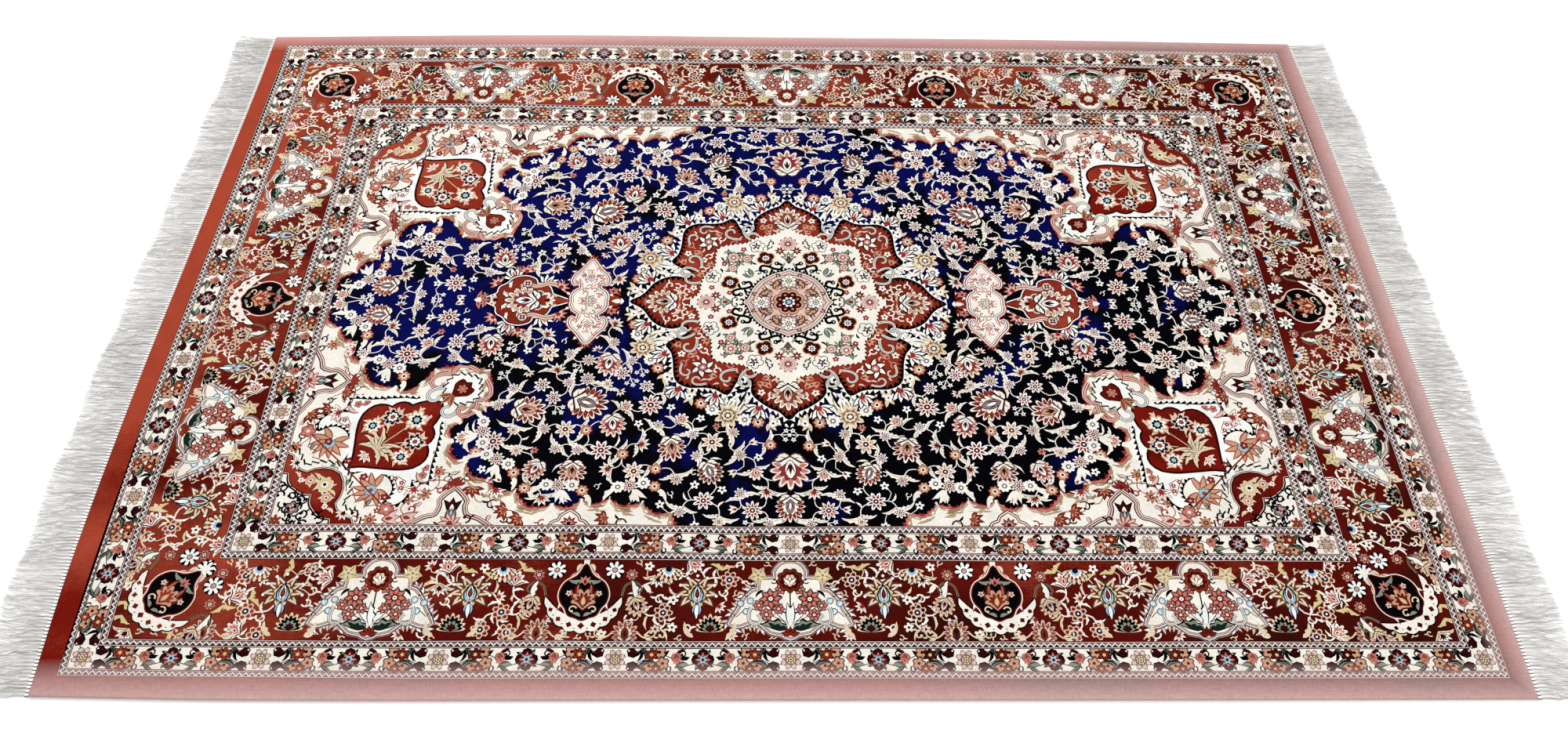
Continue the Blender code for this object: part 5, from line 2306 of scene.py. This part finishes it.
def tile_layer(regions, parts, layer):
    """One side of a tile, from its regions: flat points, triangles, and each triangle's colour."""
    number = {}
    points = []
    triangles = []
    colours = []
    for column, row, flip_x, flip_y in parts:
        flat_points, flat_triangles, flat_colours = regions[column, row][layer]
        local = []
        for x, y in flat_points:
            key = (round(flip_x * x, 6), round(flip_y * y, 6))
            if key not in number:
                number[key] = len(points)
                points.append(key)
            local.append(number[key])
        for corners, colour in zip(flat_triangles, flat_colours):
            a, b, c = (local[k] for k in corners)
            if len({a, b, c}) == 3:
                triangles.append((a, b, c) if flip_x * flip_y > 0 else (a, c, b))
                colours.append(colour)
    return points, triangles, colours


def rim_edges(triangles):
    """The directed edges that only one triangle has."""
    edges = set()
    for a, b, c in triangles:
        edges.update(((a, b), (b, c), (c, a)))
    return [(a, b) for a, b in edges if (b, a) not in edges]


def outward(point):
    """The direction out of the rug at a point of a tile's rim; (0, 0) at a seam between tiles."""
    x, y = point
    at_end = abs(abs(x) - COLUMN_LINES[-1]) < 2 * WELD
    at_side = abs(abs(y) - ROW_LINES[-1]) < 2 * WELD
    return math.copysign(at_end, x), math.copysign(at_side, y)


def make_tile(name, front, back, material):
    """A closed piece of the rug: pile above, the back below, and a rolled or straight rim."""
    points, triangles, colours = front
    back_points, back_triangles, back_colours = back
    verts = []
    xs = [p[0] for p in points]
    ys = [p[1] for p in points]
    low_x, low_y = min(xs), min(ys)
    size_x, size_y = max(xs) - low_x, max(ys) - low_y

    def shares(point):
        return (point[0] - low_x) / size_x, (point[1] - low_y) / size_y

    def uv(point, top):
        u, v = shares(point)
        front_v = UV_MARGIN + (FRONT_UV - 2 * UV_MARGIN) * v
        back_v = FRONT_UV + 2 * UV_MARGIN + BACK_UV * v
        return UV_MARGIN + (1 - 2 * UV_MARGIN) * u, front_v if top else back_v

    for x, y in points:
        laid_x, laid_y, low = woven_point(x, y)
        verts.append((laid_x, laid_y, low + RUG_THICKNESS))
    faces = list(triangles)
    uvs = [[uv(points[k], True) for k in corners] for corners in triangles]
    paints = list(colours)
    back_start = len(verts)
    for x, y in back_points:
        laid_x, laid_y, low = woven_point(x, y)
        verts.append((laid_x, laid_y, low))
    for (a, b, c), colour in zip(back_triangles, back_colours):
        faces.append((back_start + a, back_start + c, back_start + b))
        uvs.append([uv(back_points[k], False) for k in (a, c, b)])
        paints.append(colour)
    back_number = {point: back_start + k for k, point in enumerate(back_points)}
    rings = {}

    def ring(index):
        """The rim's points under a point of the pile's rim, from the top down."""
        if index not in rings:
            point = points[index]
            out_x, out_y = outward(point)
            x, y, low = woven_point(*point)
            column = [index]
            for step in range(1, ROLL_STEPS):
                angle = math.pi * (0.5 - step / ROLL_STEPS)
                reach = ROLL_DEPTH * math.cos(angle)
                height = RUG_THICKNESS / 2 * (1 + math.sin(angle))
                column.append(len(verts))
                verts.append((x + out_x * reach, y + out_y * reach, low + height))
            column.append(back_number[point])
            rings[index] = column
        return rings[index]

    for a, b in rim_edges(triangles):
        left, right = ring(a), ring(b)
        start, end = sum(shares(points[a])) / 2, sum(shares(points[b])) / 2
        for step in range(ROLL_STEPS):
            faces.append((left[step], left[step + 1], right[step + 1], right[step]))
            upper = 1 - UV_MARGIN - RIM_UV * step / ROLL_STEPS
            lower = 1 - UV_MARGIN - RIM_UV * (step + 1) / ROLL_STEPS
            uvs.append([(start, upper), (start, lower), (end, lower), (end, upper)])
            paints.append(SELVAGE_COLOUR)
    values = {colour: dye_values(colour) for colour in set(paints)}
    return build_mesh(name, verts, faces, material, [values[colour] for colour in paints], uvs)


def build_mesh(name, verts, faces, material, dyes, uvs=None):
    """A mesh with one dye a face, as linear colours with an alpha."""
    mesh = bpy.data.meshes.new(name)
    mesh.from_pydata(verts, [], faces)
    corner_dyes = [dye for face, dye in zip(faces, dyes) for _ in face]
    attribute = mesh.color_attributes.new("dye", "FLOAT_COLOR", "CORNER")
    attribute.data.foreach_set("color", np.array(corner_dyes, dtype=np.float32).ravel())
    if uvs:
        layer = mesh.uv_layers.new(name="OFBake")
        flat = np.array([pair for face in uvs for pair in face], dtype=np.float32)
        layer.uv.foreach_set("vector", flat.ravel())
    mesh.shade_smooth()
    mesh.set_sharp_from_angle(angle=SHARP_ANGLE)
    mesh.materials.append(material)
    mesh.validate()
    obj = bpy.data.objects.new(name, mesh)
    bpy.context.scene.collection.objects.link(obj)
    return obj


def linear(value):
    value /= 255
    return value / 12.92 if value <= 0.04045 else ((value + 0.055) / 1.055) ** 2.4


def dye_values(colour):
    """A dye's linear colour; its alpha tells the pile's material which dyes get painted sheen and shade."""
    red, green, blue = PALETTE[colour]
    return linear(red), linear(green), linear(blue), SHEEN_AND_SHADE_DYES.get(colour, 0.0)


# ------------------------------------------------------------ materials


class Nodes:
    """A small helper to add and link shader nodes."""

    def __init__(self, material):
        material.use_nodes = True
        self.tree = material.node_tree
        self.shader = self.tree.nodes["Principled BSDF"]

    def add(self, kind, **values):
        node = self.tree.nodes.new(kind)
        for name, value in values.items():
            if name in node.inputs:
                node.inputs[name].default_value = value
            else:
                setattr(node, name, value)
        return node

    def link(self, start, end):
        self.tree.links.new(start, end)

    def math(self, operation, first, second):
        node = self.add("ShaderNodeMath", operation=operation)
        for socket, value in zip(node.inputs, (first, second)):
            if isinstance(value, (int, float)):
                socket.default_value = value
            else:
                self.link(value, socket)
        return node.outputs[0]

    def mix(self, share, first, second, blend="MIX"):
        node = self.add("ShaderNodeMix", data_type="RGBA", blend_type=blend)
        for socket, value in ((node.inputs[0], share), (node.inputs[6], first), (node.inputs[7], second)):
            if isinstance(value, (int, float, tuple)):
                socket.default_value = value
            else:
                self.link(value, socket)
        return node.outputs[2]

    def noise(self, place, scale, detail=2.0, roughness=0.5):
        node = self.add("ShaderNodeTexNoise", Scale=scale, Detail=detail, Roughness=roughness)
        self.link(place, node.inputs["Vector"])
        return node.outputs["Fac"]

    def stretched(self, place, stretch):
        node = self.add("ShaderNodeMapping", Scale=stretch)
        self.link(place, node.inputs["Vector"])
        return node.outputs["Vector"]

    def ramp(self, value, low, high, to_low=0.0, to_high=1.0):
        node = self.add("ShaderNodeMapRange")
        self.link(value, node.inputs["Value"])
        node.inputs["From Min"].default_value = low
        node.inputs["From Max"].default_value = high
        node.inputs["To Min"].default_value = to_low
        node.inputs["To Max"].default_value = to_high
        return node.outputs["Result"]

    def grey(self, value):
        node = self.add("ShaderNodeCombineColor")
        for socket in node.inputs[:3]:
            self.link(value, socket)
        return node.outputs["Color"]

    def bump(self, height, distance, strength=1.0, normal=None):
        node = self.add("ShaderNodeBump", Strength=strength, Distance=distance)
        self.link(height, node.inputs["Height"])
        if normal:
            self.link(normal, node.inputs["Normal"])
        return node.outputs["Normal"]


def pile_material():
    material = bpy.data.materials.new("silk_pile")
    nodes = Nodes(material)
    place = nodes.add("ShaderNodeTexCoord").outputs["Object"]
    dye = nodes.add("ShaderNodeAttribute", attribute_name="dye")
    colour, sheen_and_shade_mask = dye.outputs["Color"], dye.outputs["Alpha"]
    # Dye lots that run into each other in soft steps across the rug.
    lots_and_sheen = nodes.noise(nodes.stretched(place, (1.6, 2.6, 1.0)), 2.1, 3.0, 0.55)
    position = nodes.add("ShaderNodeSeparateXYZ")
    nodes.link(place, position.inputs[0])
    # Painted sheen and shade of the red pile, added to its dye lots: lightest at the rug's left end and
    # darkest along its near side.
    leftward = nodes.math("MULTIPLY", position.outputs["X"], -0.10)
    left_end = nodes.ramp(position.outputs["X"], -0.86, -1.0, 0.0, 0.26)
    left_end = nodes.math("MULTIPLY", left_end, nodes.ramp(position.outputs["Y"], -0.45, 0.05, 0.32, 1.0))
    farther = nodes.math("MULTIPLY", position.outputs["Y"], 0.12)
    lots_and_sheen = nodes.math("ADD", nodes.math("ADD", lots_and_sheen, farther), nodes.math("ADD", leftward, left_end))
    threads = nodes.noise(nodes.stretched(place, (60.0, 9.0, 1.0)), 9.0, 2.0, 0.6)
    cross = nodes.noise(nodes.stretched(place, (7.0, 55.0, 1.0)), 9.0, 2.0, 0.6)
    streaks = nodes.math("ADD", nodes.math("MULTIPLY", threads, 0.5), nodes.math("MULTIPLY", cross, 0.5))
    streaked = nodes.math("ADD", lots_and_sheen, nodes.math("MULTIPLY", streaks, 0.35))
    # Red dyes get painted shade where the streaked lots are low and a painted sheen where they are high.
    is_red = nodes.math("MULTIPLY", nodes.ramp(sheen_and_shade_mask, 0.2, 0.3), nodes.ramp(sheen_and_shade_mask, 0.8, 0.7))
    shadowed = nodes.mix(nodes.math("MULTIPLY", nodes.ramp(streaked, 0.62, 0.46), is_red), colour, RED_PAINTED_SHADE)
    sheen_lit = nodes.mix(nodes.math("MULTIPLY", nodes.ramp(streaked, 0.68, 0.94), is_red), shadowed, RED_PAINTED_SHEEN)
    # Navy pile that leans away from the light is nearly black.
    patches = nodes.noise(nodes.stretched(place, (1.0, 0.8, 1.0)), 10.0, 4.0, 0.62)
    farther_left = nodes.math("ADD", leftward, nodes.math("MULTIPLY", farther, 2.0))
    lean = nodes.ramp(nodes.math("SUBTRACT", patches, farther_left), 0.42, 0.52)
    is_navy = nodes.ramp(sheen_and_shade_mask, 0.8, 0.9)
    lit = nodes.mix(nodes.math("MULTIPLY", lean, is_navy), sheen_lit, NAVY_PAINTED_SHADE)
    # Flecks and soft patches whose tone differs at random, times the painted shade of the pile's depth.
    nap = nodes.noise(place, 420.0, 2.0, 0.7)
    fleck = nodes.ramp(nap, 0.25, 0.75, 0.80, 1.14)
    shade = nodes.ramp(nodes.noise(place, 26.0, 3.0, 0.6), 0.3, 0.7, 0.90, 1.08)
    depth = nodes.math("MULTIPLY", nodes.math("MULTIPLY", fleck, shade), PILE_DEPTH_SHADE)
    pile_colour = nodes.mix(1.0, lit, nodes.grey(depth), "MULTIPLY")
    # Light has bleached the plain band and part of the guard beside it, along three of the rug's edges.
    near = nodes.ramp(position.outputs["Y"], -FADE_FROM[1], -RUG_WIDTH / 2, 0.0, 1.0)
    far = nodes.ramp(position.outputs["Y"], FADE_FROM[1], RUG_WIDTH / 2, 0.0, 1.0)
    right = nodes.ramp(position.outputs["X"], FADE_FROM[0], RUG_LENGTH / 2, 0.0, 1.0)
    edge = nodes.math("MAXIMUM", nodes.math("MAXIMUM", near, far), right)
    faded = nodes.math("MULTIPLY", edge, nodes.ramp(streaks, 0.2, 0.8, 0.6, 1.0))
    pile_colour = nodes.mix(faded, pile_colour, FADED_RED)
    nodes.link(pile_colour, nodes.shader.inputs["Base Color"])
    rows, columns = (
        nodes.add("ShaderNodeTexWave", bands_direction=axis, Scale=KNOT_ROWS_SCALE, Distortion=0.5,
                  Detail=1.0)
        for axis in "XY"
    )
    for wave in (rows, columns):
        nodes.link(place, wave.inputs["Vector"])
    knots = nodes.math("MULTIPLY", rows.outputs["Fac"], columns.outputs["Fac"])
    normal = nodes.bump(knots, 0.00016, 0.5)
    normal = nodes.bump(nap, 0.0006, 0.5, normal)
    normal = nodes.bump(nodes.noise(place, 55.0, 3.0, 0.6), 0.0022, 0.35, normal)
    nodes.link(normal, nodes.shader.inputs["Normal"])
    nodes.link(nodes.ramp(nap, 0.3, 0.7, 0.52, 0.72), nodes.shader.inputs["Roughness"])
    nodes.shader.inputs["Specular IOR Level"].default_value = 0.01
    return material


def yarn_material():
    material = bpy.data.materials.new("fringe_yarn")
    nodes = Nodes(material)
    place = nodes.add("ShaderNodeTexCoord").outputs["Object"]
    # Painted shade in broad patches of the mat and in fine lines between the strands, mixed with tone that
    # differs at random.
    broad = nodes.noise(place, 7.0, 3.0, 0.6)
    fine = nodes.noise(nodes.stretched(place, (40.0, 900.0, 300.0)), 1.0, 3.0, 0.6)
    shade = nodes.math("ADD", nodes.math("MULTIPLY", broad, 0.45), nodes.math("MULTIPLY", fine, 0.55))
    tone = nodes.mix(nodes.ramp(shade, 0.34, 0.60), (0.56, 0.530, 0.505, 1.0), (0.96, 0.935, 0.900, 1.0))
    dye = nodes.add("ShaderNodeAttribute", attribute_name="dye").outputs["Color"]
    nodes.link(nodes.mix(1.0, tone, dye, "MULTIPLY"), nodes.shader.inputs["Base Color"])
    nodes.link(nodes.bump(fine, 0.0003, 0.7), nodes.shader.inputs["Normal"])
    nodes.shader.inputs["Roughness"].default_value = 0.62
    nodes.shader.inputs["Sheen Weight"].default_value = 0.25
    nodes.shader.inputs["Sheen Roughness"].default_value = 0.4
    return material


# ------------------------------------------------------------ fringe


def sway(y):
    offset = 0.0
    for height, length in SWAY_WAVES:
        offset += height * math.sin(2.0 * math.pi * y / length)
    return offset


def tube(verts, faces, path, radii):
    """A closed tube along a path of points."""
    start = len(verts)
    sides = STRAND_SIDES
    for (x, y, z), radius in zip(path, radii):
        for k in range(sides):
            angle = 2 * math.pi * k / sides + math.pi / 2
            verts.append((x, y + radius * math.cos(angle), z + radius * math.sin(angle)))
    for step in range(len(path) - 1):
        for k in range(sides):
            a = start + step * sides + k
            b = start + step * sides + (k + 1) % sides
            faces.append((a, b, b + sides, a + sides))
    faces.append(tuple(start + k for k in range(sides))[::-1])
    faces.append(tuple(start + (len(path) - 1) * sides + k for k in range(sides)))


def bead(verts, faces, centre, reach):
    """A small round knot."""
    start = len(verts)
    rings, around = KNOT_RINGS, KNOT_SIDES
    x, y, z = centre
    verts.append((x, y, z + reach[2]))
    for ring in range(1, rings):
        polar = math.pi * ring / rings
        for k in range(around):
            angle = 2 * math.pi * (k + ring / 2) / around
            verts.append((
                x + reach[0] * math.sin(polar) * math.cos(angle),
                y + reach[1] * math.sin(polar) * math.sin(angle),
                z + reach[2] * math.cos(polar),
            ))
    verts.append((x, y, z - reach[2]))
    last = len(verts) - 1
    for k in range(around):
        following = (k + 1) % around
        faces.append((start, start + 1 + k, start + 1 + following))
        for ring in range(rings - 2):
            a = start + 1 + ring * around
            faces.append((a + k, a + around + k, a + around + following, a + following))
        a = start + 1 + (rings - 2) * around
        faces.append((a + k, last, a + following))


def fringe_strip(side, low, high, count, shapes):
    """The woven edge that the warp ends come out of, with painted shade in the gaps between knots."""
    verts, faces, tones = shapes
    rows = []
    steps = 3 * count
    for k in range(steps + 1):
        y = low + (high - low) * k / steps
        edge = end_x(side, y)
        row = []
        for share, height in STRIP_PROFILE:
            row.append(len(verts))
            verts.append((edge + side * (EDGE_GAP + share * STRIP_WIDTH), y, height * STRIP_HEIGHT + 0.0001))
        rows.append(row)
    around = len(rows[0])
    for step, (first, second) in enumerate(zip(rows, rows[1:])):
        # Every third step is a gap between knots, painted in shade.
        tone = STRIP_GAP_SHADE if step % 3 == 0 else 1.0
        for k in range(around):
            following = (k + 1) % around
            faces.append((first[k], first[following], second[following], second[k]))
            tones.append(tone)
    faces.append(tuple(rows[0][::-1]))
    faces.append(tuple(rows[-1]))
    tones.extend((1.0, 1.0))


def fringe_strand(side, root, length, tip, lift, wave, dice, shapes):
    """One loose warp end: it ripples along the floor and its tip drifts to one side."""
    verts, faces, tones = shapes
    root_x, root_y, splay = root
    height, phase = wave
    height += dice.gauss(0.0, 0.0004)
    phase += dice.gauss(0.0, 0.6)
    path = []
    radii = []
    for step in range(STRAND_STEPS + 1):
        t = step / STRAND_STEPS
        loose = min(1, 2.5 * t)
        path.append((
            root_x + side * length * t,
            root_y + splay * (1 + 1.2 * loose) + tip * t * t
            + height * math.sin(phase + STRAND_TURN * t) * loose,
            lift + (0.0004 * (1 - t) + 0.0003 * math.sin(phase + 5 * t)) * loose,
        ))
        radii.append(STRAND_RADIUS * (1.0 - 0.45 * t))
    before = len(faces)
    tube(verts, faces, path, radii)
    # A tone that differs at random from strand to strand and also paints the shade between strands.
    tone = dice.choice(STRAND_TONES_AND_SHADE) * dice.uniform(0.9, 1.1)
    tones.extend([tone] * (len(faces) - before))


def fringe_section(name, side, low, high, material, dice):
    """One third of an end's fringe: the woven strip, its row of knots, and the loose warp ends."""
    shapes = verts, faces, tones = [], [], []
    count = round((high - low) / BUNCH_PITCH)
    pitch = (high - low) / count
    fringe_strip(side, low, high, count, shapes)
    for bunch in range(count):
        y = low + (bunch + 0.5) * pitch
        root_x = end_x(side, y) + side * (EDGE_GAP + STRIP_WIDTH)
        lean = dice.uniform(-0.0012, 0.0012)
        before = len(faces)
        bead(verts, faces, (root_x - side * 0.0022, y, 0.00140), (0.0022, 0.0016, 0.00110))
        tones.extend([1.0] * (len(faces) - before))
        longer = LENGTH_WAVE * math.sin(2.0 * math.pi * y / SWAY_WAVES[0][1])
        wave = dice.uniform(0.0006, 0.0022), dice.uniform(0, 2 * math.pi)
        for strand in range(STRANDS_PER_BUNCH):
            share = (strand + 0.5) / STRANDS_PER_BUNCH - 0.5
            length = STRAND_LENGTH + longer + 0.003 - abs(dice.gauss(0.0, 0.0034))
            tip = sway(y) + lean + dice.gauss(0.0, 0.0026) + share * 0.005
            lift = dice.uniform(0.00045, 0.0016)
            fringe_strand(side, (root_x, y, share * 0.0018), length, tip, lift, wave, dice, shapes)
        if dice.random() < STRAY_SHARE and STRAY_MARGIN < bunch < count - STRAY_MARGIN:
            length = STRAND_LENGTH * dice.uniform(0.6, 0.9)
            tip = dice.uniform(-0.024, 0.024)
            fringe_strand(side, (root_x, y, 0.0), length, tip, 0.0019, wave, dice, shapes)
    return build_mesh(name, verts, faces, material, [(tone, tone, tone, 1.0) for tone in tones])


# ------------------------------------------------------------ the pieces


def make_rug_pieces():
    regions = flat_regions(drawn)
    pile = pile_material()
    tiles = {}
    for column in range(4):
        side_x = -1 if column < 2 else 1
        region_column = 1 if column in (0, 3) else 0
        for row in range(3):
            if row == 1:
                parts = [(region_column, 0, side_x, side) for side in (-1, 1)]
            else:
                parts = [(region_column, 1, side_x, row - 1)]
            front, back = tile_layer(regions, parts, 0), tile_layer(regions, parts, 1)
            tile = make_tile(f"rug_row{row}_part{column}", front, back, pile)
            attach(tile, "root")
            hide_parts("rug")
            tiles[column, row] = tile
    return tiles


def make_fringes():
    yarn = yarn_material()
    sections = {}
    for side, node in ((-1, "fringe_left"), (1, "fringe_right")):
        dice = random.Random(FRINGE_SEED + side)
        low_corner = side_y(-1, side * RUG_LENGTH / 2)
        high_corner = side_y(1, side * RUG_LENGTH / 2)
        lines = [low_corner, -ROW_LINES[1], ROW_LINES[1], high_corner]
        for row in range(3):
            section = fringe_section(f"{node}_yarn{row}", side, lines[row], lines[row + 1], yarn, dice)
            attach(section, "root")
            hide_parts(node)
            sections[side, row] = section
    return sections


def make_floor():
    mesh = bpy.data.meshes.new("floor")
    half = FLOOR_SIZE / 2
    corners = [(-half, -half, 0), (half, -half, 0), (half, half, 0), (-half, half, 0)]
    mesh.from_pydata(corners, [], [(0, 1, 2, 3)])
    floor = bpy.data.objects.new("floor", mesh)
    floor.location.z = -FLOOR_DROP
    bpy.context.scene.collection.objects.link(floor)
    material = bpy.data.materials.new("pale_floor")
    nodes = Nodes(material)
    place = nodes.add("ShaderNodeTexCoord").outputs["Object"]
    tone = nodes.mix(nodes.noise(place, 2.0, 3.0), (0.86, 0.86, 0.86, 1.0), (0.88, 0.88, 0.88, 1.0))
    nodes.link(tone, nodes.shader.inputs["Base Color"])
    nodes.shader.inputs["Roughness"].default_value = 0.9
    mesh.materials.append(material)


def make_light(name, place, aim, size, power):
    data = bpy.data.lights.new(name, "AREA")
    data.shape = "DISK"
    data.size = size
    data.energy = power
    light = bpy.data.objects.new(name, data)
    light.location = place
    light.rotation_euler = (Vector(aim) - Vector(place)).to_track_quat("-Z", "Y").to_euler()
    bpy.context.scene.collection.objects.link(light)


def make_studio():
    make_floor()
    world = bpy.data.worlds.new("studio")
    world.use_nodes = True
    world.node_tree.nodes["Background"].inputs["Color"].default_value = (1.0, 1.0, 1.0, 1.0)
    world.node_tree.nodes["Background"].inputs["Strength"].default_value = WORLD_STRENGTH
    bpy.context.scene.world = world
    for name, place, aim, size, power in LIGHTS:
        make_light(name, place, aim, size, power)
    bpy.context.scene.view_settings.view_transform = "Standard"
    bpy.context.scene.view_settings.look = "None"


def make_camera():
    data = bpy.data.cameras.new("camera")
    data.lens = CAMERA_LENS
    data.sensor_width = CAMERA_SENSOR
    camera = bpy.data.objects.new("camera", data)
    forward = Vector(CAMERA_FORWARD).normalized()
    right = forward.cross(Vector(CAMERA_UP)).normalized()
    up = right.cross(forward)
    camera.matrix_world = Matrix((
        (right.x, up.x, -forward.x, CAMERA_PLACE[0]),
        (right.y, up.y, -forward.y, CAMERA_PLACE[1]),
        (right.z, up.z, -forward.z, CAMERA_PLACE[2]),
        (0.0, 0.0, 0.0, 1.0),
    ))
    bpy.context.scene.collection.objects.link(camera)
    bpy.context.scene.camera = camera


def build():
    make_camera()
    make_studio()
    build_field()
    build_borders()
    tiles = make_rug_pieces()
    sections = make_fringes()


build()
bpy.context.view_layer.update()
